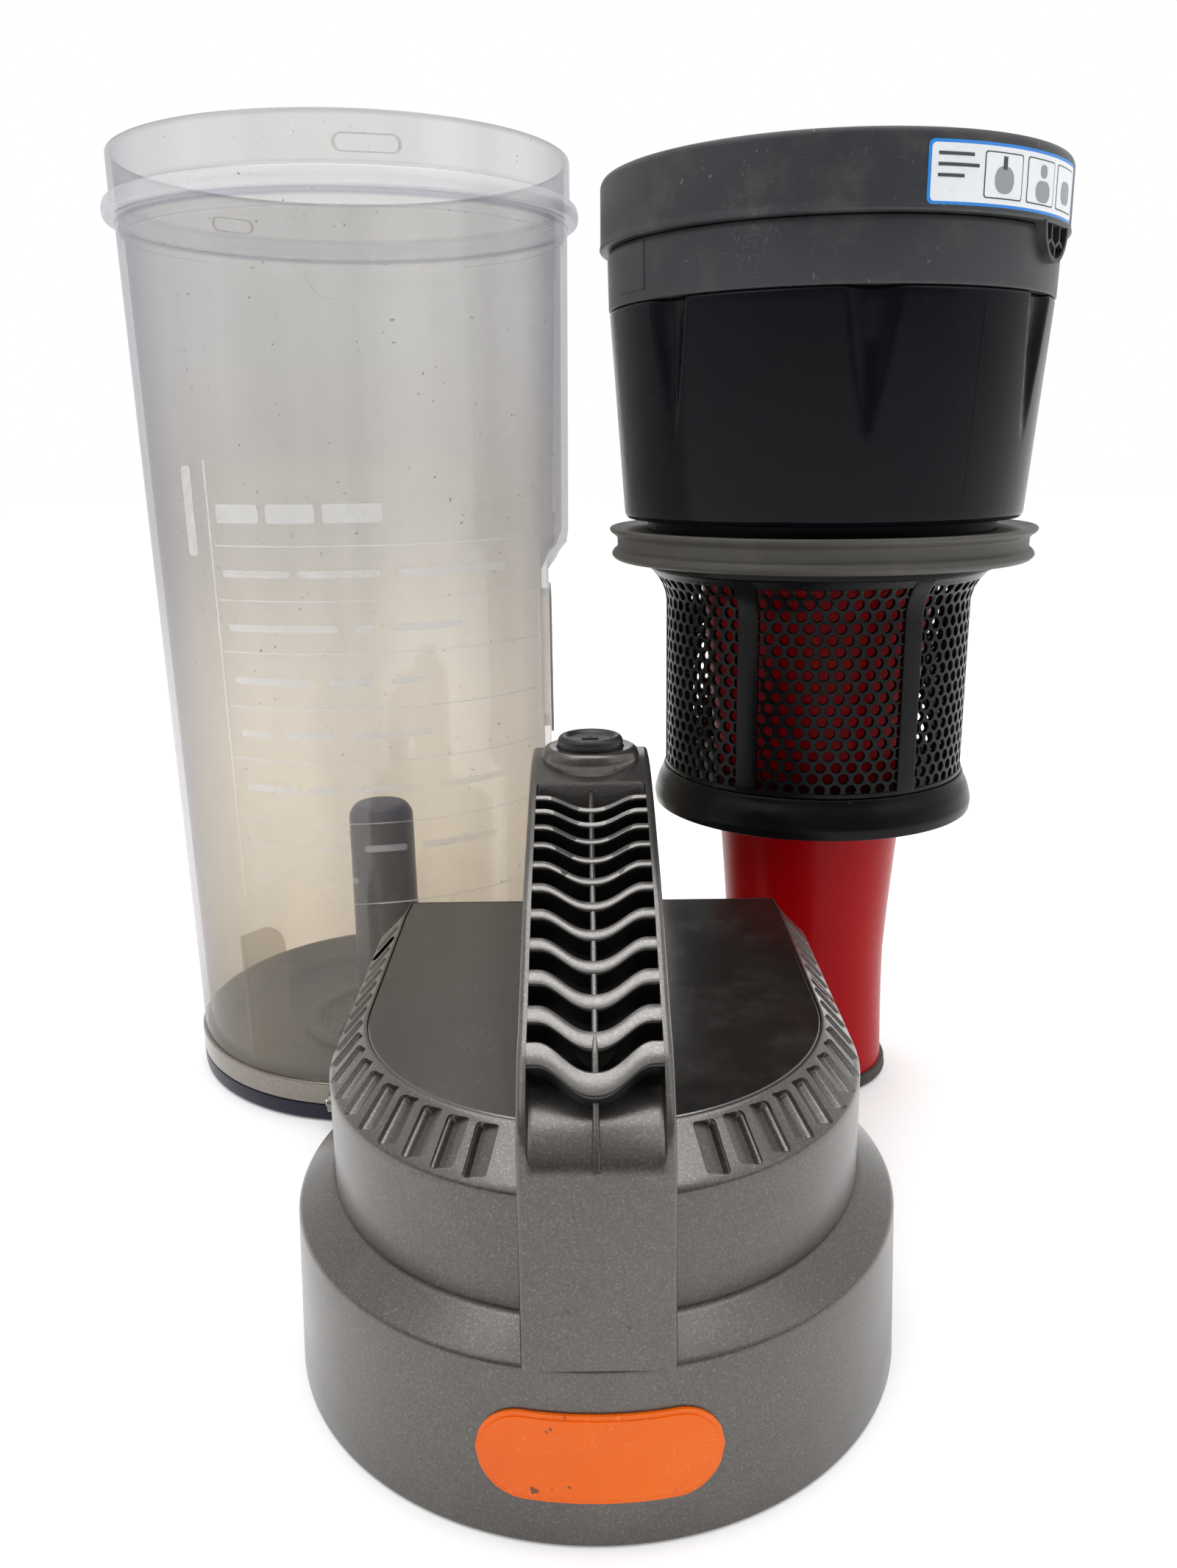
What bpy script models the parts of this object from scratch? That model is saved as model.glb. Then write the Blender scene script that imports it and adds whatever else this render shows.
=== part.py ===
"""Dust container of an upright vacuum cleaner, taken apart into the three assemblies it lifts into.

The clear bin with its hinged base door stands at the origin, the cyclone and filter assembly
stands to its right, and the lid with the carrying handle stands in front of both.
Units are metres, +Z is up, -Y is the front.
"""

import math

import bmesh
import bpy
from mathutils import Matrix, Vector

MM = 0.001
WELD = 2e-6

# ---- Driving sizes: the bin ----
RIM_R = 87.7 * MM
BIN_HEIGHT = 368.0 * MM
RIM_WALL = 2.2 * MM
BEAD_BELOW_RIM = 20.3 * MM
BEAD_PROUD = 3.5 * MM
BEAD_HALF = 3.4 * MM
TUBE_INSET = 1.1 * MM
TUBE_BASE_R = 82.3 * MM
TUBE_WALL = 2.8 * MM
FOOT_TOP = 16.8 * MM
FOOT_PROUD = 1.3 * MM
DOOR_RIM_TOP = 7.1 * MM
DOOR_FLOOR = 5.0 * MM
SEAT_R = 39.5 * MM
SEAT_TOP = 9.3 * MM
POST_R = 14.6 * MM
POST_TOP = 109.8 * MM
FIN_DEPTH = 20.0 * MM
FIN_TOP = 73.0 * MM
FACET_DEPTH = 7.6 * MM
FACET_TURN = 2.0
INLET_WIDE = 30.0 * MM
INLET_TALL = 56.0 * MM

# ---- Driving sizes: the cyclone and filter assembly ----
RIM_ABOVE_COLLAR = 4.6 * MM
COLLAR_TALL = 23.9 * MM
COLLAR_WALL = 2.4 * MM
CLAMP_TALL = 20.5 * MM
BODY_TALL = 70.8 * MM
BODY_FOOT_R = 76.0 * MM
BODY_WALL = 2.2 * MM
SEAL_TALL = 12.6 * MM
SHROUD_R = 59.2 * MM
SHROUD_TALL = 79.7 * MM
SKIRT_R = 64.0 * MM
SKIRT_TALL = 15.0 * MM
COLLECTOR_TOP_R = 47.0 * MM
COLLECTOR_WAIST_R = 32.7 * MM
CONE_COUNT = 6
CONE_RING_R = 33.0 * MM
FOAM_TALL = 27.0 * MM
KEY_R = 12.0 * MM
KEY_BEARING = 53.0
POCKET_BEARING = -165.0

# ---- Driving sizes: the lid and its handle ----
SKIRT_WALL = 1.9 * MM
LID_SKIRT_TALL = 49.7 * MM
SHOULDER_TOP = 56.2 * MM
BAND_R = 77.1 * MM
BAND_TOP = 89.3 * MM
LID_TOP = 98.3 * MM
LID_REAR = 110.0 * MM
PLATE_HALF = 67.0 * MM
PLATE_SHIFT = 8.0 * MM
PLATE_REAR = 100.0 * MM
HANDLE_WIDE = 37.4 * MM
BUTTON_R = 10.0 * MM
BUTTON_Y = 48.0 * MM
GRIP_TOP = 166.0 * MM

# ---- Clearances and layout ----
GAP = 0.3 * MM
COLLAR_CLEARANCE = 0.4 * MM
SKIRT_CLEARANCE = 0.4 * MM
GUIDE_CLEARANCE = 1.6 * MM
PIN_CLEARANCE = 0.3 * MM
ROD_CLEARANCE = 0.9 * MM
SEAL_CLEARANCE = 0.3 * MM
KEY_CLEARANCE = 0.4 * MM
CONE_PLATE_CLEARANCE = 1.0 * MM
STAND_GAP = 10.3 * MM
LID_GAP = 3.6 * MM
CYCLONE_BEARING = -9.9
PIN_R = 1.5 * MM
KNUCKLE_R = 4.0 * MM
SCREW_R = 1.6 * MM
SCREW_HEAD_R = 3.2 * MM
# The exact solver leaves open edges on these three, which take many cuts each.
MANY_CUTS = ("lid_shell", "handle_frame", "cone_pack")
BIG = 32
MEDIUM = 20
SMALL = 10

# ---- Sizes that follow from the ones above ----
BEAD_Z = BIN_HEIGHT - BEAD_BELOW_RIM
BEAD_R = RIM_R + BEAD_PROUD
TUBE_TOP_R = RIM_R - TUBE_INSET
FOOT_R = TUBE_BASE_R + FOOT_PROUD
TUBE_BOTTOM = DOOR_RIM_TOP + 0.5 * MM
SPIGOT_R = TUBE_BASE_R - 1.1 * MM
COLLAR_R = RIM_R - RIM_WALL - COLLAR_CLEARANCE
COLLAR_TOP = BIN_HEIGHT - SEAT_TOP - RIM_ABOVE_COLLAR
COLLAR_BOTTOM = COLLAR_TOP - COLLAR_TALL
LEDGE_Z = SEAT_TOP + COLLAR_BOTTOM
CLAMP_TOP = COLLAR_BOTTOM - GAP
CLAMP_BOTTOM = CLAMP_TOP - CLAMP_TALL
BODY_TOP = CLAMP_BOTTOM - GAP
BODY_BOTTOM = BODY_TOP - BODY_TALL
SEAL_TOP = BODY_BOTTOM - 8.0 * MM
SEAL_BOTTOM = SEAL_TOP - SEAL_TALL
SHROUD_TOP = SEAL_BOTTOM - 3.5 * MM
SHROUD_BOTTOM = SHROUD_TOP - SHROUD_TALL
CONE_PLATE_Z = CLAMP_BOTTOM - 13.4 * MM
BODY_SILL = BODY_BOTTOM + 1.0 * MM
FACET_TOP = SEAT_TOP + SEAL_BOTTOM - 1.5 * MM
FACET_BOTTOM = FOOT_TOP + 11.0 * MM
LID_SEAL_Z = SEAT_TOP + COLLAR_TOP - (BEAD_Z + BEAD_HALF) + GAP
CYCLONE_REACH = BEAD_R + COLLAR_R + STAND_GAP
CYCLONE_AT = Vector(
    (
        CYCLONE_REACH * math.cos(math.radians(CYCLONE_BEARING)),
        CYCLONE_REACH * math.sin(math.radians(CYCLONE_BEARING)),
        0.0,
    )
)
SKIRT_LOW = SHROUD_BOTTOM - SKIRT_TALL
# The lid stands in front of the bin's foot, and of the shroud's skirt where that hangs below its top.
SKIRT_FRONT = SKIRT_R - CYCLONE_AT.y if SKIRT_LOW < LID_TOP + LID_GAP else 0.0
LID_BEFORE = max(FOOT_R, SKIRT_FRONT)
LID_AT = Vector((CYCLONE_AT.x / 2 + 0.9 * MM, -(LID_BEFORE + LID_GAP + LID_REAR), 0.0))
BIN_AT = Vector((0.0, 0.0, 0.0))


def tube_outer(z):
    """Outer radius of the tapered bin wall at height z."""
    share = (z - FOOT_TOP) / (BEAD_Z - FOOT_TOP)
    return TUBE_BASE_R + (TUBE_TOP_R - TUBE_BASE_R) * share


def tube_inner(z):
    return tube_outer(z) - TUBE_WALL


CLAMP_R = tube_inner(LEDGE_Z) - GUIDE_CLEARANCE
SEAL_R = tube_inner(SEAT_TOP + SEAL_TOP) - SEAL_CLEARANCE
HOUSING_R = CLAMP_R - 3.6 * MM
BODY_TOP_R = CLAMP_R - 0.8 * MM
KEY_REACH = tube_inner(LEDGE_Z) + 0.6 * MM
FACET_PLANE = tube_outer((FACET_TOP + FACET_BOTTOM) / 2) - FACET_DEPTH


def body_inner(z):
    """Inner radius of the tapered cyclone wall at height z."""
    share = (z - BODY_SILL) / (BODY_TOP - BODY_SILL)
    return BODY_FOOT_R + (BODY_TOP_R - BODY_FOOT_R) * share - BODY_WALL


CONE_PLATE_R = body_inner(CONE_PLATE_Z) - CONE_PLATE_CLEARANCE


# ---- Scene, materials and shape tools ----
def clear_scene():
    for obj in list(bpy.data.objects):
        bpy.data.objects.remove(obj, do_unlink=True)
    for mesh in list(bpy.data.meshes):
        bpy.data.meshes.remove(mesh)


def finish_of(name, colour, roughness, metallic=0.0, alpha=1.0):
    material = bpy.data.materials.new(name)
    material.use_nodes = True
    shader = material.node_tree.nodes["Principled BSDF"]
    shader.inputs["Base Color"].default_value = (*colour, 1.0)
    shader.inputs["Roughness"].default_value = roughness
    shader.inputs["Metallic"].default_value = metallic
    shader.inputs["Alpha"].default_value = alpha
    material.diffuse_color = (*colour, alpha)
    return material


def body_empty(name, place, parent=None):
    """An empty on a body's joint axis, which carries that body's pieces."""
    empty = bpy.data.objects.new(name, None)
    bpy.context.collection.objects.link(empty)
    empty.empty_display_size = 0.02
    if parent:
        empty.parent = parent
        empty.location = Vector(place) - parent.matrix_world.translation
    else:
        empty.location = place
    bpy.context.view_layer.update()
    return empty


def add_mesh(name, shape, material=None, frame=None, place=BIN_AT):
    """Make an object from a bmesh whose points are in the frame of its assembly, at place."""
    bmesh.ops.remove_doubles(shape, verts=shape.verts, dist=WELD)
    bmesh.ops.recalc_face_normals(shape, faces=shape.faces)
    bmesh.ops.triangulate(shape, faces=shape.faces[:])
    mesh = bpy.data.meshes.new(name)
    shape.to_mesh(mesh)
    shape.free()
    mesh.shade_smooth()
    mesh.set_sharp_from_angle(angle=math.radians(35))
    obj = bpy.data.objects.new(name, mesh)
    bpy.context.collection.objects.link(obj)
    if material:
        mesh.materials.append(material)
    if frame:
        obj.parent = frame
        obj.location = place - frame.matrix_world.translation
    else:
        obj.location = place
    return obj


def turned_shape(profile, segments):
    """Spin a closed outline of (radius, height) points about Z."""
    shape = bmesh.new()
    verts = [shape.verts.new((r, 0.0, z)) for r, z in profile]
    edges = [shape.edges.new((verts[i - 1], verts[i])) for i in range(len(verts))]
    on_axis = [e for e in edges if all(v.co.x < 1e-9 for v in e.verts)]
    bmesh.ops.delete(shape, geom=on_axis, context="EDGES")
    geometry = list(shape.verts) + list(shape.edges)
    bmesh.ops.spin(
        shape,
        geom=geometry,
        cent=(0, 0, 0),
        axis=(0, 0, 1),
        angle=math.tau,
        steps=segments,
        use_merge=False,
    )
    bmesh.ops.remove_doubles(shape, verts=shape.verts, dist=WELD)
    bmesh.ops.dissolve_degenerate(shape, edges=shape.edges, dist=WELD / 10)
    return shape


def turned(name, profile, segments=BIG, **where):
    return add_mesh(name, turned_shape(profile, segments), **where)


def prism_shape(outline, low, high, axis="Z"):
    """Extrude a closed outline: axis X takes (y, z) points, Y takes (x, z) and Z takes (x, y)."""
    shape = bmesh.new()

    def corner(a, b, depth):
        if axis == "X":
            return (depth, a, b)
        if axis == "Y":
            return (a, depth, b)
        return (a, b, depth)

    base = shape.faces.new([shape.verts.new(corner(a, b, low)) for a, b in outline])
    far = bmesh.ops.extrude_face_region(shape, geom=[base])
    shift = Vector(corner(0.0, 0.0, high)) - Vector(corner(0.0, 0.0, low))
    moved = [item for item in far["geom"] if isinstance(item, bmesh.types.BMVert)]
    bmesh.ops.translate(shape, vec=shift, verts=moved)
    return shape


def prism(name, outline, low, high, axis="Z", turn=0.0, **where):
    """A prism, turned about the vertical by an angle in degrees."""
    shape = prism_shape(outline, low, high, axis)
    bmesh.ops.rotate(shape, verts=shape.verts, matrix=Matrix.Rotation(math.radians(turn), 3, "Z"))
    return add_mesh(name, shape, **where)


def box_outline(low_a, high_a, low_b, high_b):
    return [(low_a, low_b), (high_a, low_b), (high_a, high_b), (low_a, high_b)]


def rod_along_x(name, radius, half, y, z, segments=SMALL, x=0.0, **where):
    outline = [
        (y + radius * math.cos(math.tau * i / segments), z + radius * math.sin(math.tau * i / segments))
        for i in range(segments)
    ]
    return prism(name, outline, x - half, x + half, "X", **where)


def merged(shapes):
    """Several shapes that don't touch, as one bmesh for use as a cutter or an addition."""
    whole = bmesh.new()
    for shape in shapes:
        mesh = bpy.data.meshes.new("piece")
        shape.to_mesh(mesh)
        shape.free()
        whole.from_mesh(mesh)
        bpy.data.meshes.remove(mesh)
    return whole


def combine(target, other, operation):
    modifier = target.modifiers.new(operation.title() + " " + other.name, "BOOLEAN")
    modifier.object = other
    modifier.operation = operation
    modifier.solver = "MANIFOLD" if target.name in MANY_CUTS else "EXACT"
    other.hide_render = True
    other.display_type = "WIRE"


def cut(target, *cutters):
    for cutter in cutters:
        combine(target, cutter, "DIFFERENCE")


def join(target, *others):
    for other in others:
        combine(target, other, "UNION")


def patch_shape(radius_at, start, end, low, high, gap, thickness, steps):
    """A curved plate that lies on a turned surface between two bearings, measured from the front."""
    shape = bmesh.new()
    rings = []
    for i in range(steps + 1):
        angle = math.radians(start + (end - start) * i / steps)
        out = Vector((math.sin(angle), -math.cos(angle), 0.0))
        ring = []
        for z, off in ((low, gap), (low, gap + thickness), (high, gap + thickness), (high, gap)):
            ring.append(shape.verts.new(out * (radius_at(z) + off) + Vector((0.0, 0.0, z))))
        rings.append(ring)
    for near, far in zip(rings, rings[1:]):
        for i in range(4):
            shape.faces.new((near[i], near[(i + 1) % 4], far[(i + 1) % 4], far[i]))
    shape.faces.new(rings[0])
    shape.faces.new(rings[-1])
    return shape


def lug_outline(root, pin_y, pin_z, radius):
    """Side view of a hinge ear: a flat root, and a round end about the pin."""
    away = 1.0 if pin_y > root else -1.0
    steps = 6
    points = [(root, pin_z - radius)]
    for i in range(steps + 1):
        angle = -math.pi / 2 + math.pi * i / steps
        points.append((pin_y + away * radius * math.cos(angle), pin_z + radius * math.sin(angle)))
    points.append((root, pin_z + radius))
    return points


def screw(name, x, y, seat, length, frame, place, material, points_down=True):
    """Pan-head screw: its head sits on the seat height and its shank goes into the piece beyond."""
    way = -1.0 if points_down else 1.0
    head = 2.3 * MM
    profile = [
        (0.0, seat - way * head),
        (SCREW_HEAD_R - 0.6 * MM, seat - way * head),
        (SCREW_HEAD_R, seat - way * head * 0.5),
        (SCREW_HEAD_R, seat - way * GAP),
        (SCREW_R, seat - way * GAP),
        (SCREW_R, seat + way * length),
        (0.0, seat + way * length),
    ]
    shape = turned_shape(profile, SMALL)
    bmesh.ops.translate(shape, vec=(x, y, 0.0), verts=shape.verts)
    return add_mesh(name, shape, material, frame, place)


def drill(name, spots, radius, low, high, place):
    """Round cutters through the heights low to high, one at each (x, y) spot."""
    shapes = []
    for x, y in spots:
        shape = turned_shape([(0.0, low), (radius, low), (radius, high), (0.0, high)], SMALL)
        bmesh.ops.translate(shape, vec=(x, y, 0.0), verts=shape.verts)
        shapes.append(shape)
    return add_mesh(name, merged(shapes), place=place)


clear_scene()

CLEAR = finish_of("clear_plastic", (0.62, 0.62, 0.60), 0.18, alpha=0.4)
PEWTER = finish_of("pewter_paint", (0.20, 0.185, 0.175), 0.36, 0.75)
PLATE = finish_of("satin_plate", (0.085, 0.078, 0.072), 0.42, 0.4)
BLACK = finish_of("black_plastic", (0.012, 0.012, 0.014), 0.38)
NAVY = finish_of("navy_plastic", (0.018, 0.020, 0.045), 0.35)
DARK_GREY = finish_of("dark_grey_plastic", (0.045, 0.047, 0.050), 0.45)
MID_GREY = finish_of("mid_grey_plastic", (0.095, 0.098, 0.104), 0.42)
RED = finish_of("red_plastic", (0.52, 0.006, 0.018), 0.30)
TAUPE = finish_of("taupe_rubber", (0.105, 0.098, 0.090), 0.60)
RUBBER = finish_of("black_rubber", (0.020, 0.019, 0.018), 0.70)
FOAM = finish_of("filter_foam", (0.055, 0.075, 0.12), 0.95)
FELT = finish_of("filter_felt", (0.60, 0.59, 0.56), 0.95)
STEEL = finish_of("steel", (0.55, 0.55, 0.56), 0.30, 1.0)
ORANGE = finish_of("orange_badge", (0.85, 0.17, 0.01), 0.30)
WHITE = finish_of("white_label", (0.80, 0.82, 0.84), 0.45)

# ---- Body empties, each on its joint ----
HINGE_Y = FOOT_R + KNUCKLE_R + 0.4 * MM
HINGE_Z = (DOOR_RIM_TOP + GAP + FOOT_TOP) / 2 - 0.4 * MM
bin_frame = body_empty("bin_frame", BIN_AT)
door_frame = body_empty("door_frame", (0.0, HINGE_Y, HINGE_Z), bin_frame)
latch_frame = body_empty("latch_frame", (0.0, -HINGE_Y, HINGE_Z), bin_frame)
cyclone_frame = body_empty("cyclone_frame", CYCLONE_AT)
FILTER_STEP = COLLAR_BOTTOM + 2.4 * MM
CUP_FLOOR = CLAMP_BOTTOM + 4.4 * MM
FELT_TOP = CUP_FLOOR + GAP + 3.8 * MM
FOAM_TOP = FELT_TOP + GAP + FOAM_TALL
BAR_TOP = FOAM_TOP + GAP + 2.6 * MM
filter_frame_empty = body_empty("filter_lift", CYCLONE_AT + Vector((0, 0, FILTER_STEP)), cyclone_frame)
PULL_Y = -14.0 * MM
PULL_Z = BAR_TOP + 3.1 * MM
pull_frame = body_empty("pull_hinge", CYCLONE_AT + Vector((0, PULL_Y, PULL_Z)), filter_frame_empty)
lid_frame = body_empty("lid_frame", LID_AT)
button_frame = body_empty("button_slide", LID_AT + Vector((0, BUTTON_Y, GRIP_TOP)), lid_frame)
CATCH_ARM = 30.0 * MM
CATCH_Y = BUTTON_Y + CATCH_ARM
CATCH_Z = LID_TOP - 16.1 * MM
catch_frame = body_empty("catch_pivot", LID_AT + Vector((0, CATCH_Y, CATCH_Z)), lid_frame)


# ---- Bin: clear tube, foot ring, inlet seal, hinge pin and latch pin ----
def facet_outline(plane, grow):
    """Radial view of the cutter that flattens the bin's side, sloped at both ends."""
    far = RIM_R + 20 * MM
    slope = FACET_DEPTH + 3.0 * MM
    return [
        (plane, FACET_BOTTOM + slope - grow),
        (plane, FACET_TOP - slope + grow),
        (plane + slope, FACET_TOP + grow),
        (far, FACET_TOP + grow),
        (far, FACET_BOTTOM - grow),
        (plane + slope, FACET_BOTTOM - grow),
    ]


def key_outline(top, grow):
    """Half-round key that hangs below a height, which turns the cyclone to its place in the bin."""
    radius = KEY_R + grow
    steps = 8
    points = []
    for i in range(steps + 1):
        angle = math.pi * i / steps
        points.append((radius * math.cos(angle), top - radius * math.sin(angle)))
    points.append((-radius, top + 1 * MM))
    points.append((radius, top + 1 * MM))
    return points


def build_bin():
    low = BEAD_Z - BEAD_HALF
    high = BEAD_Z + BEAD_HALF
    outer = [
        (0.0, TUBE_BOTTOM),
        (SPIGOT_R, TUBE_BOTTOM),
        (SPIGOT_R, FOOT_TOP + GAP),
        (TUBE_BASE_R, FOOT_TOP + GAP),
        (tube_outer(low), low),
        (BEAD_R - 1.2 * MM, low),
        (BEAD_R, BEAD_Z),
        (BEAD_R - 1.2 * MM, high),
        (RIM_R, high),
        (RIM_R, BIN_HEIGHT - 0.8 * MM),
        (RIM_R - 0.8 * MM, BIN_HEIGHT),
        (0.0, BIN_HEIGHT),
    ]
    tube = turned("bin_tube", outer, material=CLEAR, frame=bin_frame)
    inner = [
        (0.0, TUBE_BOTTOM - 5 * MM),
        (tube_inner(FOOT_TOP), TUBE_BOTTOM - 5 * MM),
        (tube_inner(FOOT_TOP), FOOT_TOP),
        (tube_inner(LEDGE_Z), LEDGE_Z),
        (RIM_R - RIM_WALL, LEDGE_Z),
        (RIM_R - RIM_WALL, BIN_HEIGHT + 5 * MM),
        (0.0, BIN_HEIGHT + 5 * MM),
    ]
    bore = turned("bin_bore", inner)
    half = 50 * MM
    outer_facet = prism("facet_outside", facet_outline(FACET_PLANE, 0.0), -half, half, "Y", FACET_TURN)
    inner_facet = prism(
        "facet_inside", facet_outline(FACET_PLANE - TUBE_WALL, 1.2 * MM), -half, half, "Y", FACET_TURN
    )
    cut(bore, inner_facet)
    cut(tube, outer_facet, bore)
    inlet_z = FACET_TOP - 24 * MM - INLET_TALL / 2
    port = prism(
        "inlet_cutter",
        box_outline(-INLET_WIDE / 2, INLET_WIDE / 2, inlet_z - INLET_TALL / 2, inlet_z + INLET_TALL / 2),
        -FACET_PLANE - 15 * MM,
        -FACET_PLANE + 15 * MM,
        "Y",
        FACET_TURN + 90.0,
    )
    cut(tube, port)
    wall = tube_inner(FOOT_TOP)
    fin_low = FOOT_TOP + 1.5 * MM
    fin = prism(
        "fin_blank",
        [
            (wall + 1.2 * MM, fin_low),
            (wall + 1.2 * MM, FIN_TOP),
            (wall - FIN_DEPTH + 6 * MM, FIN_TOP),
            (wall - FIN_DEPTH, FIN_TOP - 6 * MM),
            (wall - FIN_DEPTH, fin_low),
        ],
        -1.0 * MM,
        1.0 * MM,
        "Y",
        -126.0,
    )
    join(tube, fin)
    pocket = prism(
        "key_pocket",
        key_outline(LEDGE_Z, KEY_CLEARANCE),
        -KEY_REACH - KEY_CLEARANCE,
        -tube_inner(LEDGE_Z) + 6 * MM,
        "Y",
        POCKET_BEARING,
    )
    cut(tube, pocket)

    frame_out = 3.0 * MM
    seal = prism(
        "inlet_seal",
        box_outline(
            -INLET_WIDE / 2 - frame_out,
            INLET_WIDE / 2 + frame_out,
            inlet_z - INLET_TALL / 2 - frame_out,
            inlet_z + INLET_TALL / 2 + frame_out,
        ),
        -FACET_PLANE - GAP - 2.2 * MM,
        -FACET_PLANE - GAP,
        "Y",
        FACET_TURN + 90.0,
        material=RUBBER,
        frame=bin_frame,
    )
    cut(seal, port)


def ear_pair(name, sign, x_in, x_out, root, radius):
    """Two hinge ears on one side of the foot, as one shape with a left and a right body."""
    shapes = []
    for low, high in ((x_in, x_out), (-x_out, -x_in)):
        outline = lug_outline(sign * root, sign * HINGE_Y, HINGE_Z, radius)
        shapes.append(prism_shape(outline, low, high, "X"))
    return add_mesh(name, merged(shapes))


EAR_IN = 8.3 * MM
EAR_OUT = 12.3 * MM


def build_foot():
    inner = SPIGOT_R + GAP
    bottom = DOOR_RIM_TOP + GAP
    ring = turned(
        "foot_ring",
        [
            (inner, bottom),
            (FOOT_R - 0.5 * MM, bottom),
            (FOOT_R, bottom + 0.6 * MM),
            (FOOT_R, FOOT_TOP - 1.0 * MM),
            (FOOT_R - 1.0 * MM, FOOT_TOP),
            (inner, FOOT_TOP),
        ],
        material=PEWTER,
        frame=bin_frame,
    )
    radius = KNUCKLE_R - 0.2 * MM
    for sign, name in ((1.0, "rear_ears"), (-1.0, "front_ears")):
        join(ring, ear_pair(name, sign, EAR_IN, EAR_OUT, inner + 0.4 * MM, radius))
        hole = rod_along_x(name + "_bore", PIN_R + PIN_CLEARANCE, EAR_OUT + 2 * MM, sign * HINGE_Y, HINGE_Z)
        cut(ring, hole)
    half = EAR_OUT + 0.8 * MM
    rod_along_x("hinge_pin", PIN_R, half, HINGE_Y, HINGE_Z, material=STEEL, frame=bin_frame)
    rod_along_x("latch_pin", PIN_R, half, -HINGE_Y, HINGE_Z, material=STEEL, frame=bin_frame)


# ---- Base door: disc with the seat and stub, its seal and the centre post ----
POST_WALL = 2.6 * MM
STRIKE_OUT = FOOT_R + 2.6 * MM


def build_door():
    under = 2.4 * MM
    stub_r = POST_R - POST_WALL - GAP
    outer_groove = SPIGOT_R + 0.5 * MM
    door = turned(
        "base_door",
        [
            (0.0, 0.0),
            (20 * MM, 0.0),
            (20 * MM, under),
            (FOOT_R - 6 * MM, under),
            (FOOT_R - 6 * MM, 0.0),
            (FOOT_R - 0.6 * MM, 0.0),
            (FOOT_R, 0.6 * MM),
            (FOOT_R, DOOR_RIM_TOP),
            (outer_groove, DOOR_RIM_TOP),
            (outer_groove, DOOR_FLOOR),
            (SEAT_R, DOOR_FLOOR),
            (SEAT_R, SEAT_TOP),
            (SEAT_R - 6.5 * MM, SEAT_TOP),
            (SEAT_R - 6.5 * MM, DOOR_FLOOR),
            (stub_r, DOOR_FLOOR),
            (stub_r, DOOR_FLOOR + 8 * MM),
            (0.0, DOOR_FLOOR + 8 * MM),
        ],
        material=BLACK,
        frame=door_frame,
    )
    root = FOOT_R - 1.6 * MM
    knuckle = prism(
        "door_knuckle",
        [
            (root, 0.9 * MM),
            (HINGE_Y - 1.0 * MM, 0.9 * MM),
            (HINGE_Y + KNUCKLE_R - 0.3 * MM, HINGE_Z - 1.0 * MM),
            (HINGE_Y + KNUCKLE_R - 0.3 * MM, HINGE_Z + 1.5 * MM),
            (HINGE_Y + 1.5 * MM, HINGE_Z + KNUCKLE_R - 0.3 * MM),
            (HINGE_Y - 1.5 * MM, HINGE_Z + KNUCKLE_R - 0.3 * MM),
            (HINGE_Y - KNUCKLE_R + 0.3 * MM, HINGE_Z + 1.5 * MM),
            (HINGE_Y - KNUCKLE_R + 0.3 * MM, DOOR_RIM_TOP - 0.6 * MM),
            (root, DOOR_RIM_TOP - 0.6 * MM),
        ],
        -EAR_IN + GAP,
        EAR_IN - GAP,
        "X",
    )
    strike = prism(
        "door_strike",
        box_outline(-STRIKE_OUT, -FOOT_R + 1.6 * MM, 3.2 * MM, DOOR_RIM_TOP - 0.6 * MM),
        -7 * MM,
        7 * MM,
        "X",
    )
    join(door, knuckle, strike)
    cut(door, rod_along_x("knuckle_bore", PIN_R + PIN_CLEARANCE, EAR_IN, HINGE_Y, HINGE_Z))
    turned(
        "door_seal",
        [
            (TUBE_BASE_R - TUBE_WALL - 2.0 * MM, DOOR_FLOOR + GAP),
            (SPIGOT_R + 0.2 * MM, DOOR_FLOOR + GAP),
            (SPIGOT_R + 0.2 * MM, TUBE_BOTTOM - GAP),
            (TUBE_BASE_R - TUBE_WALL - 2.0 * MM, TUBE_BOTTOM - GAP),
        ],
        material=RUBBER,
        frame=door_frame,
    )
    turned(
        "centre_post",
        [
            (POST_R - POST_WALL, DOOR_FLOOR + GAP),
            (POST_R, DOOR_FLOOR + GAP),
            (POST_R - 0.6 * MM, POST_TOP - 3 * MM),
            (POST_R - 3.4 * MM, POST_TOP),
            (0.0, POST_TOP),
            (0.0, POST_TOP - POST_WALL),
            (POST_R - POST_WALL - 0.6 * MM, POST_TOP - POST_WALL),
        ],
        MEDIUM,
        material=NAVY,
        frame=door_frame,
    )


# ---- Door latch: a sprung lever in front, whose toe stops just short of the door's strike ----
LATCH_TOP = 36.0 * MM
CATCH_CLEARANCE = 0.3 * MM


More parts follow.
